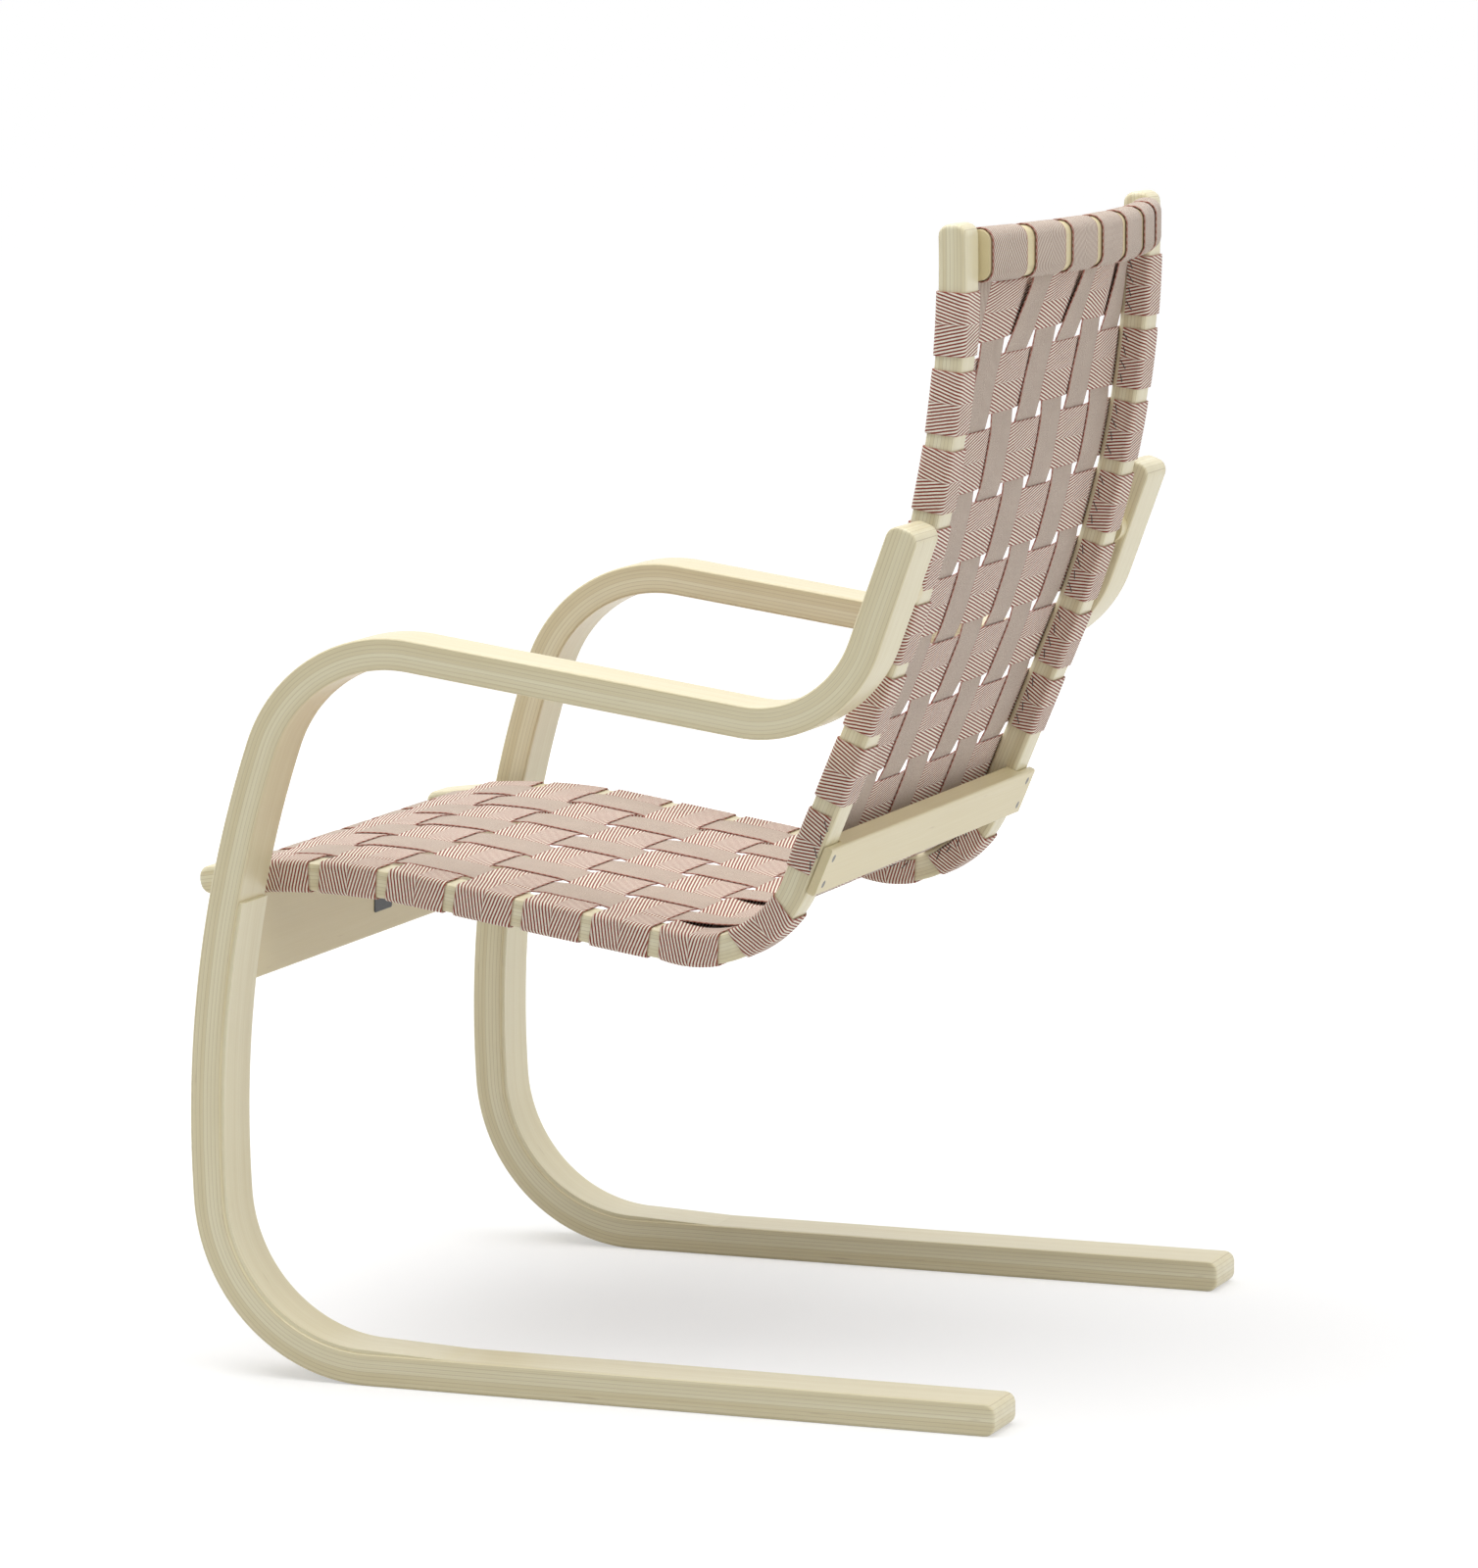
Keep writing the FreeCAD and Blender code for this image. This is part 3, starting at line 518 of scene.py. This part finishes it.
def build_wood():
    """Side frames, leg veneers and rails as bands whose grain follows the bends."""
    half = BAND_THICKNESS / 2
    runner = SIDE_PATH[0][1]
    top = leg_station(VENEER_TOP_HEIGHT)

    def veneer_limits(station):
        """The veneer feathers out on the runner, and its hidden side is sunk in the band."""
        share = min(1.0, (station - runner + VENEER_FEATHER) / VENEER_FEATHER)
        return -half - VENEER_THICKNESS * share + 0.1 * (1 - share), -half + VENEER_SUNK

    for side, word in ((1, "left"), (-1, "right")):
        band_x = side * (OVERALL_WIDTH - BAND_WIDTH) / 2
        rail_x = side * (RAIL_OUTER_X - RAIL_WIDTH / 2)
        band = band_piece(word + "_bent_side", side_path, band_x, BAND_WIDTH, -half, half,
                          (RUNNER_END_ROUND, ARM_END_ROUND), BAND_EDGE_ROUND, band_birch)
        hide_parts(word + "_side_frame")
        veneer = band_piece(word + "_inner_veneer", side_path, band_x,
                            BAND_WIDTH - 2 * BAND_EDGE_ROUND, 0, 0, (0.01, 0.01), 0.3,
                            veneer_birch, limits=(runner - VENEER_FEATHER, top),
                            thin=veneer_limits)
        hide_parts(word + "_leg_ply")
        rail = band_piece(word + "_bent_rail", rail_path, rail_x, RAIL_WIDTH, -HALF_RAIL,
                          HALF_RAIL, (RAIL_END_ROUND, RAIL_END_ROUND), RAIL_EDGE_ROUND,
                          rail_birch)
        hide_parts(word + "_seat_rail")


# Woven surface.
def bow(station, x):
    """How far the woven surface is drawn to the rear of the rails, in millimetres."""
    below = rail_path.length - TOP_RAIL_DROP - station
    fade = min(max(1 - below / BOW_REACH, 0.0), 1.0) ** 2
    return fade * (TOP_RAIL_SETBACK + TOP_RAIL_BOW * (1 - (x / RAIL_INNER_X) ** 2))


def surface(station, x):
    """A point of the woven surface's middle, in metres."""
    return place(rail_path.at(station), -bow(station, x), x)


def surface_normal(station, x):
    """The woven surface's normal, towards the sitter."""
    step = 1.5
    along = surface(station + step, x) - surface(station - step, x)
    across = surface(station, x + step) - surface(station, x - step)
    return across.cross(along).normalized()


def weft_stations():
    """Stations of the wefts along the rails, from the front to the top."""
    stations = [SEAT_WEFT_START + i * SEAT_WEFT_PITCH for i in range(SEAT_WEFT_COUNT)]
    stations.append(BEND_WEFT_STATION)
    for i in range(BACK_WEFT_COUNT - 1, -1, -1):
        stations.append(rail_path.length - BACK_WEFT_TOP_DROP - i * BACK_WEFT_PITCH)
    return stations


def warp_centres():
    """X of the warps, from the sitter's right to the left."""
    return [(i - (WARP_COUNT - 1) / 2) * WARP_PITCH for i in range(WARP_COUNT)]


def weft_on_top(weft, warp):
    """Plain weave: which of the two lies nearer to the sitter."""
    return (SEAT_WEFT_COUNT + BACK_WEFT_COUNT - weft + WARP_COUNT - 1 - warp) % 2 == 0


def weave_wave(position, centres, ups):
    """A level that goes from -1 to 1 between flats over or under each crossing."""
    if position <= centres[0]:
        return ups[0]
    if position >= centres[-1]:
        return ups[-1]
    for i in range(len(centres) - 1):
        if position <= centres[i + 1]:
            share = (position - centres[i]) / (centres[i + 1] - centres[i])
            rim = CROSSING_FLAT / 2 / (centres[i + 1] - centres[i])
            t = min(max((share - rim) / (1 - 2 * rim), 0.0), 1.0)
            t = t * t * (3 - 2 * t)
            return ups[i] * (1 - t) + ups[i + 1] * t
    return ups[-1]


def weft_line(index, station):
    """Points, normals and sags of one weft: tail, wrap, weave, wrap, tail."""
    centres = warp_centres()
    ups = [1 if weft_on_top(index, j) else -1 for j in range(WARP_COUNT)]
    outer = RAIL_OUTER_X + BELT_GAP
    inner = RAIL_INNER_X - BELT_GAP
    rear = -HALF_RAIL - BELT_GAP
    corner = WEFT_CORNER
    ends_outside = index == SEAT_WEFT_COUNT + 1
    pose = rail_path.at(station)
    wrap = []
    arcs = [(outer - corner, WEAVE_LEVEL - corner, 90.0), (outer - corner, rear + corner, 0.0),
            (inner + corner, rear + corner, -90.0)]
    for a, b, begin in arcs[:1] if ends_outside else arcs:
        for k in range(7):
            angle = math.radians(begin - WRAP_TURN * k)
            wrap.append((a + corner * math.cos(angle), b + corner * math.sin(angle),
                         math.cos(angle), math.sin(angle)))
    wrap.append((outer, rear + corner, 1.0, 0.0) if ends_outside
                else (inner, rear + TAIL_LENGTH, -1.0, 0.0))
    angle = math.radians(pose[2])
    up = Vector((0.0, -math.sin(angle), math.cos(angle)))
    curve = math.radians(rail_path.turn_rate(station))

    def sag(offset):
        """How far the belt's edges lift where the rail under it is bent."""
        return up * ((BELT_WIDTH / 2) ** 2 / 2 * curve / (1 - curve * offset) * MM)

    def wrapped(point, side):
        x, offset, nx, no = point
        normal = (Vector((side * nx, 0, 0)) + up * no).normalized()
        return place(pose, offset, side * x), normal, sag(offset)

    line = [wrapped(p, -1.0) for p in reversed(wrap)]
    x = -outer + corner + PATH_STEP
    while x < outer - corner - 2.9:
        level = WEAVE_LEVEL
        if abs(x) < RAIL_INNER_X - 4.0:
            level += WEAVE_STEP * weave_wave(x, centres, ups)
        between = abs(x) < RAIL_INNER_X
        normal = surface_normal(station, x) if between else up
        base = surface(station, x) if between else place(pose, 0.0, x)
        line.append((base + normal * (level * MM), normal, sag(level)))
        x += PATH_STEP
    line += [wrapped(p, 1.0) for p in wrap]
    return line


def warp_twist(index, station, stations):
    """The turn of a slack warp about its length, and how far it then stands off the wefts.

    At the bend it lifts towards the sitter, and below the top rail towards the rear."""
    bend = stations[SEAT_WEFT_COUNT - 1 + index % 2]
    top = stations[-1] + BELT_WIDTH / 3
    turned, moved = 0.0, 0.0
    for middle, reach, angles, way in ((bend, BEND_TWIST_REACH, BEND_TWISTS, 1.0),
                                       (top, TOP_TWIST_REACH, TOP_TWISTS, -1.0)):
        near = max(0.0, 1 - abs(station - middle) / reach)
        angle = math.radians(angles[index] * near * near * (3 - 2 * near))
        turned += angle
        moved += way * WARP_WIDTH / 2 * math.sin(abs(angle))
    return turned, moved


def wrap_round(centre, across, rise, size, corner, quarters, turn):
    """Points and normals of a belt round a bar. Each quarter gives the side of its corner
    across and in rise, its first angle in degrees and its number of points."""
    found = []
    for side, level, begin, count in quarters:
        for k in range(count):
            turned = math.radians(begin + turn * k)
            a = side * (size[0] / 2 - corner) + corner * math.cos(turned)
            b = level * (size[1] / 2 - corner) + corner * math.sin(turned)
            found.append((centre + (across * a + rise * b) * MM,
                          across * math.cos(turned) + rise * math.sin(turned), NO_SAG))
    return found


def warp_line(index, x):
    """Points and normals of one warp: round the front rail, the weave, round the top."""
    stations = weft_stations()
    ups = [-1 if weft_on_top(i, index) else 1 for i in range(len(stations))]
    gap = BELT_GAP
    # Front cross rail: from under the belt, down its rear side, round the front, to its top.
    pose = rail_path.at(FRONT_RAIL_STATION)
    angle = math.radians(pose[2])
    along = Vector((0.0, math.cos(angle), math.sin(angle)))
    up = Vector((0.0, -math.sin(angle), math.cos(angle)))
    line = wrap_round(place(pose, 0.0, x), along, up,
                      (FRONT_RAIL_DEPTH + 2 * gap, FRONT_RAIL_THICKNESS + 2 * gap),
                      FRONT_RAIL_ROUND + gap,
                      ((1, 1, 45.0, 4), (1, -1, 0.0, 7), (-1, -1, -90.0, 7), (-1, 1, -180.0, 7)),
                      -WRAP_TURN)
    # The weave.
    first = FRONT_RAIL_STATION + 12.0
    last = rail_path.length - TOP_RAIL_DROP
    low_level = FRONT_RAIL_THICKNESS / 2 + gap
    front_face = TOP_RAIL_THICKNESS / 2 + gap
    station = first
    while station < last - 6.0:
        level = WEAVE_LEVEL + WEAVE_STEP * weave_wave(station, stations, ups)
        near = min(max((station - first) / 18.0, 0.0), 1.0)
        level = low_level + (level - low_level) * near * near * (3 - 2 * near)
        top_near = min(max((last - 8.0 - station) / 22.0, 0.0), 1.0)
        level = front_face + (level - front_face) * top_near
        run = (surface(station + 1.0, x) - surface(station - 1.0, x)).normalized()
        turned, moved = warp_twist(index, station, stations)
        normal = surface_normal(station, x)
        point = surface(station, x) + normal * ((level + moved * top_near) * MM)
        line.append((point, Quaternion(run, turned * top_near) @ normal, NO_SAG))
        station += PATH_STEP
    # Top cross rail: front face, over the top, down the rear, and in under the belt.
    radius = (RAIL_INNER_X ** 2 + TOP_RAIL_BOW ** 2) / (2 * TOP_RAIL_BOW)
    swing = math.asin(x / radius)
    forward = Vector((-math.sin(swing), -math.cos(swing), 0.0))
    hub = place(rail_path.at(last), 0.0, 0.0)
    hub += Vector((0, TOP_RAIL_SETBACK + TOP_RAIL_BOW - radius, 0)) * MM
    line += wrap_round(hub - forward * (radius * MM), forward, Vector((0.0, 0.0, 1.0)),
                       (TOP_RAIL_THICKNESS + 2 * gap, TOP_RAIL_HEIGHT + 2 * gap),
                       TOP_RAIL_ROUND + gap,
                       ((1, 1, 0.0, 7), (-1, 1, 90.0, 7), (-1, -1, 180.0, 7), (1, -1, 270.0, 4)),
                       WRAP_TURN)
    return line


# Belts from a path.
def belt_tree():
    """Geometry nodes: carries a flat rounded section along a path with given normals."""
    group = bpy.data.node_groups.new("belt_on_path", "GeometryNodeTree")
    face = group.interface
    face.new_socket("Geometry", in_out="INPUT", socket_type="NodeSocketGeometry")
    for name, value in (("Width", BELT_WIDTH * MM), ("Thickness", BELT_THICKNESS * MM)):
        face.new_socket(name, in_out="INPUT", socket_type="NodeSocketFloat").default_value = value
    face.new_socket("Finish", in_out="INPUT", socket_type="NodeSocketMaterial")
    face.new_socket("Geometry", in_out="OUTPUT", socket_type="NodeSocketGeometry")
    tree = Tree(group)
    given = tree.add("NodeGroupInput")
    width, thickness = given.outputs["Width"], given.outputs["Thickness"]

    line = tree.add("GeometryNodeMeshToCurve", i0=given.outputs["Geometry"])
    lean = tree.add("GeometryNodeInputNamedAttribute", {"data_type": "FLOAT_VECTOR"},
                    i0="belt_normal")
    turned = tree.add("GeometryNodeSetCurveNormal", {"mode": "FREE"}, Curve=line)
    tree.put(turned.inputs["Normal"], lean.outputs[0])
    walk = tree.add("GeometryNodeSplineParameter")
    sag = tree.add("GeometryNodeInputNamedAttribute", {"data_type": "FLOAT_VECTOR"},
                   i0="belt_sag")
    kept = tree.add("GeometryNodeCaptureAttribute")
    kept.capture_items.new("FLOAT", "along")
    kept.capture_items.new("VECTOR", "sag")
    tree.put(kept.inputs[0], turned.outputs[0])
    tree.put(kept.inputs[1], walk.outputs["Length"])
    tree.put(kept.inputs[2], sag.outputs[0])

    # The section: a circle drawn out to the belt's width and pressed nearly flat.
    circle = tree.add("GeometryNodeCurvePrimitiveCircle", Resolution=36, Radius=1.0)
    spot = tree.add("ShaderNodeSeparateXYZ", i0=tree.add("GeometryNodeInputPosition"))
    across = tree.math("MULTIPLY", spot.outputs[0], tree.math("MULTIPLY", width, 0.5))
    press = tree.math("POWER", tree.math("ABSOLUTE", spot.outputs[1]), 0.14)
    press = tree.math("MULTIPLY", press, tree.math("SIGN", spot.outputs[1]))
    through = tree.math("MULTIPLY", press, tree.math("MULTIPLY", thickness, 0.5))
    there = tree.add("ShaderNodeCombineXYZ", X=through, Y=across)
    shape = tree.add("GeometryNodeSetPosition", Geometry=circle, Position=there)
    flat = tree.add("GeometryNodeCaptureAttribute")
    flat.capture_items.new("FLOAT", "across")
    spot_after = tree.add("ShaderNodeSeparateXYZ", i0=tree.add("GeometryNodeInputPosition"))
    tree.put(flat.inputs[0], shape.outputs[0])
    tree.put(flat.inputs[1], spot_after.outputs[1])

    swept = tree.add("GeometryNodeCurveToMesh", i0=kept.outputs[0])
    tree.put(swept.inputs["Profile Curve"], flat.outputs[0])
    swept.inputs["Fill Caps"].default_value = True
    chart = tree.add("ShaderNodeCombineXYZ", X=kept.outputs[1], Y=flat.outputs[1])
    share = tree.math("DIVIDE", flat.outputs[1], tree.math("MULTIPLY", width, 0.5))
    lift = tree.vector("SCALE", kept.outputs[2], scale=tree.math("MULTIPLY", share, share))
    bent = tree.add("GeometryNodeSetPosition", Geometry=swept, Offset=lift)
    stored = tree.add("GeometryNodeStoreNamedAttribute",
                      {"data_type": "FLOAT2", "domain": "CORNER"}, Geometry=bent)
    stored.inputs["Name"].default_value = "webbing"
    tree.put(stored.inputs["Value"], chart.outputs[0])
    real = tree.add("GeometryNodeRealizeInstances", i0=stored)
    done = tree.add("GeometryNodeSetMaterial", i0=real)
    tree.put(done.inputs["Material"], given.outputs["Finish"])
    tree.add("NodeGroupOutput", i0=done)
    return group


def run_tree(name, group, mesh, inputs):
    """Puts a node group on a mesh and returns the result as a plain object."""
    source = bpy.data.objects.new(name + "_path", mesh)
    bpy.context.scene.collection.objects.link(source)
    modifier = source.modifiers.new("made", "NODES")
    modifier.node_group = group
    for item in group.interface.items_tree:
        if item.in_out == "INPUT" and item.name in inputs:
            modifier[item.identifier] = inputs[item.name]
    depsgraph = bpy.context.evaluated_depsgraph_get()
    made = bpy.data.meshes.new_from_object(source.evaluated_get(depsgraph))
    made.name = name
    bpy.data.objects.remove(source)
    made.shade_smooth()
    piece = bpy.data.objects.new(name, made)
    bpy.context.scene.collection.objects.link(piece)
    return piece


def path_mesh(name, line):
    """A chain of edges whose points carry the belt's normal and the sag of its edges."""
    mesh = bpy.data.meshes.new(name)
    links = [(i, i + 1) for i in range(len(line) - 1)]
    mesh.from_pydata([tuple(point) for point, normal, sag in line], links, [])
    normals = mesh.attributes.new("belt_normal", "FLOAT_VECTOR", "POINT")
    sags = mesh.attributes.new("belt_sag", "FLOAT_VECTOR", "POINT")
    for index, (point, normal, sag) in enumerate(line):
        normals.data[index].vector = normal
        sags.data[index].vector = sag
    return mesh


def belt_piece(name, group, line, width, cloth, node):
    """One webbing belt, built along its path on the frame, in place of its CAD node."""
    piece = run_tree(name, group, path_mesh(name, line),
                     {"Width": width * MM, "Finish": cloth})
    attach(piece, BODY)
    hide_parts(node)
    return piece


def build_belts():
    """All warps and wefts."""
    group = belt_tree()
    for index, station in enumerate(weft_stations()):
        belt_piece("weft_%02d" % (index + 1), group, weft_line(index, station), BELT_WIDTH,
                   weft_cloth, "weft_belt_%02d" % (index + 1))
    for index, x in enumerate(warp_centres()):
        belt_piece("warp_%d" % (index + 1), group, warp_line(index, x), WARP_WIDTH,
                   warp_cloth, "warp_belt_%d" % (index + 1))


# Fasteners and plate.
def wire_tree():
    """Geometry nodes: a round wire of a given size along every chain of edges."""
    group = bpy.data.node_groups.new("wire_on_path", "GeometryNodeTree")
    face = group.interface
    face.new_socket("Geometry", in_out="INPUT", socket_type="NodeSocketGeometry")
    face.new_socket("Diameter", in_out="INPUT", socket_type="NodeSocketFloat")
    face.new_socket("Finish", in_out="INPUT", socket_type="NodeSocketMaterial")
    face.new_socket("Geometry", in_out="OUTPUT", socket_type="NodeSocketGeometry")
    tree = Tree(group)
    given = tree.add("NodeGroupInput")
    line = tree.add("GeometryNodeMeshToCurve", i0=given.outputs["Geometry"])
    circle = tree.add("GeometryNodeCurvePrimitiveCircle", Resolution=8)
    tree.put(circle.inputs["Radius"], tree.math("MULTIPLY", given.outputs["Diameter"], 0.5))
    swept = tree.add("GeometryNodeCurveToMesh", i0=line)
    tree.put(swept.inputs["Profile Curve"], circle.outputs[0])
    swept.inputs["Fill Caps"].default_value = True
    real = tree.add("GeometryNodeRealizeInstances", i0=swept)
    done = tree.add("GeometryNodeSetMaterial", i0=real)
    tree.put(done.inputs["Material"], given.outputs["Finish"])
    tree.add("NodeGroupOutput", i0=done)
    return group


def build_staples():
    """Wire staples that hold the cut tails of the wefts to the rails."""
    points, links = [], []
    for index, station in enumerate(weft_stations()):
        outside = index == SEAT_WEFT_COUNT + 1
        level = -HALF_RAIL + 4.5 if outside else -HALF_RAIL - BELT_GAP + TAIL_LENGTH - 3.0
        skin = RAIL_CLEARANCE + BELT_THICKNESS + 0.1
        x = RAIL_OUTER_X + skin if outside else RAIL_INNER_X - skin
        inward = -1.0 if outside else 1.0
        for side in (1.0, -1.0):
            for k in range(STAPLES_PER_TAIL):
                middle = station + (k - (STAPLES_PER_TAIL - 1) / 2) * STAPLE_SPACING
                lean = 0.75 if (k + index) % 2 else 0.35
                base = len(points)
                for a, depth in ((-0.5, 1.2), (-0.5, 0.0), (0.5, 0.0), (0.5, 1.2)):
                    pose = rail_path.at(middle + a * STAPLE_CROWN)
                    offset = level + a * STAPLE_CROWN * lean
                    points.append(place(pose, offset, side * (x + inward * depth)))
                links += [(base, base + 1), (base + 1, base + 2), (base + 2, base + 3)]
    mesh = bpy.data.meshes.new("tail_staples")
    mesh.from_pydata([tuple(p) for p in points], links, [])
    piece = run_tree("tail_staples", wire_tree(), mesh,
                     {"Diameter": STAPLE_WIRE * MM, "Finish": dull_wire})
    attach(piece, BODY)
    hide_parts("weft_staples")


def build_studs():
    """Arm studs, wholly inside the wood and the spacers."""
    low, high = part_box("arm_bolts")
    middle_y, middle_z = (low.y + high.y) / 2, (low.z + high.z) / 2
    points, links = [], []
    for side in (1.0, -1.0):
        base = len(points)
        points.append((side * (RAIL_INNER_X + 4.0) * MM, middle_y, middle_z))
        points.append((side * (high.x - 0.001), middle_y, middle_z))
        links.append((base, base + 1))
    mesh = bpy.data.meshes.new("arm_studs")
    mesh.from_pydata(points, links, [])
    piece = run_tree("arm_studs", wire_tree(), mesh, {"Diameter": STUD_DIAMETER * MM, "Finish": zinc})
    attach(piece, BODY)
    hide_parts("arm_bolts")


def build_plate():
    """A small blank plate on the rear face of the board between the legs."""
    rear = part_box("front_stretcher")[1].y
    half = PLATE_HEIGHT / 2
    outline = section(PLATE_LENGTH, -half, half, 2.0)
    rows = ((0.0, -0.2), (0.0, 0.6), (0.4, 0.9))
    points, faces = [], []
    for inset, out in rows:
        shrink = 1 - inset / half
        for a, b in outline:
            points.append((a * shrink * MM, rear + out * MM, (PLATE_MIDDLE + b * shrink) * MM))
    ring = len(outline)
    for row in range(len(rows) - 1):
        for k in range(ring):
            a, b = row * ring + k, row * ring + (k + 1) % ring
            faces.append((a, a + ring, b + ring, b))
    faces.append(tuple(range(ring)))
    faces.append(tuple(range(len(points) - ring, len(points)))[::-1])
    plate = smooth_mesh("blank_plate", points, faces, plate_dark)
    plate.data.shade_flat()


# Kept nodes and the studio.
def dress(node, material):
    """Gives a CAD node that stays its finish."""
    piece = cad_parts[node]
    for spot in piece.material_slots:
        spot.material = material


def build_stage():
    """Floor, lights, world and camera."""
    scene = bpy.context.scene
    scene.view_settings.view_transform = "Standard"
    bpy.ops.mesh.primitive_plane_add(size=160.0, location=(0.0, 0.0, 0.0))
    floor = bpy.context.object
    floor.name = "studio_floor"
    material, tree, shader = new_material("studio_floor")
    path = tree.add("ShaderNodeLightPath")
    seen = tree.math("MAXIMUM", path.outputs["Is Camera Ray"], path.outputs["Is Glossy Ray"])
    shader.inputs["Roughness"].default_value = 0.9
    shader.inputs["Specular IOR Level"].default_value = 0.0
    tree.put(shader.inputs["Base Color"],
             tree.blend(seen, (0.80, 0.80, 0.80, 1.0), (0.55, 0.55, 0.55, 1.0)))
    # The floor itself shows white, a little less so near the chair, where shadows lie.
    spot = tree.add("ShaderNodeTexCoord").outputs["Object"]
    away = tree.add("ShaderNodeVectorMath", {"operation": "LENGTH"}, i0=spot).outputs["Value"]
    glow = tree.ramp(away, 0.9, 3.0, 0.47, 0.74, smooth=True)
    shader.inputs["Emission Color"].default_value = (1.0, 1.0, 1.0, 1.0)
    tree.put(shader.inputs["Emission Strength"], tree.math("MULTIPLY", glow, seen))
    floor.data.materials.append(material)

    world = bpy.data.worlds.new("studio")
    scene.world = world
    world.use_nodes = True
    world.node_tree.nodes.clear()
    tree = Tree(world.node_tree)
    path = tree.add("ShaderNodeLightPath")
    seen = tree.math("MAXIMUM", path.outputs["Is Camera Ray"], path.outputs["Is Glossy Ray"])
    # The room is a little darker on the camera's side, as behind a photographer.
    toward = tree.add("ShaderNodeSeparateXYZ",
                      i0=tree.add("ShaderNodeTexCoord").outputs["Generated"]).outputs[0]
    room = tree.ramp(toward, 0.0, 1.0, 0.56, 0.16)
    strength = tree.add("ShaderNodeMix", i0=seen, i2=room, i3=1.0).outputs[0]
    light = tree.add("ShaderNodeBackground", i0=(1.0, 1.0, 1.0, 1.0), i1=strength)
    tree.add("ShaderNodeOutputWorld", i0=light)

    def soft_lamp(name, where, size, power, aim=(0.0, 0.0, 0.4)):
        lamp = bpy.data.lights.new(name, "AREA")
        lamp.shape = "DISK"
        lamp.size = size
        lamp.energy = power
        piece = bpy.data.objects.new(name, lamp)
        piece.location = where
        piece.rotation_euler = (Vector(aim) - Vector(where)).to_track_quat("-Z", "Y").to_euler()
        scene.collection.objects.link(piece)

    soft_lamp("overhead", (0.3, -0.4, 3.4), 4.2, 121.0)
    soft_lamp("rear_fill", (0.4, 4.2, 1.5), 2.6, 31.0)

    camera = bpy.data.objects.new("camera", bpy.data.cameras.new("camera"))
    camera.data.lens = CAMERA_LENS
    camera.data.sensor_width = 36.0
    camera.data.clip_start = 0.1
    camera.data.clip_end = 300.0
    azimuth, elevation = math.radians(CAMERA_AZIMUTH), math.radians(CAMERA_ELEVATION)
    back = Vector((math.sin(azimuth) * math.cos(elevation),
                   -math.cos(azimuth) * math.cos(elevation), math.sin(elevation)))
    x, y, z = CAMERA_PLACE
    camera.location = Vector((x, y + Y_SHIFT, z)) * MM
    camera.rotation_mode = "QUATERNION"
    camera.rotation_quaternion = (-back).to_track_quat("-Z", "Y")
    scene.collection.objects.link(camera)
    scene.camera = camera


build_wood()
build_belts()
for node_name in ("front_stretcher", "rear_crossbar", "front_cross_rail", "top_cross_rail",
                  "left_arm_spacer", "right_arm_spacer", "stretcher_dowels", "seat_dowels",
                  "cross_rail_dowels"):
    dress(node_name, board_birch)
dress("crossbar_screws", zinc)
build_staples()
build_studs()
build_plate()
build_stage()
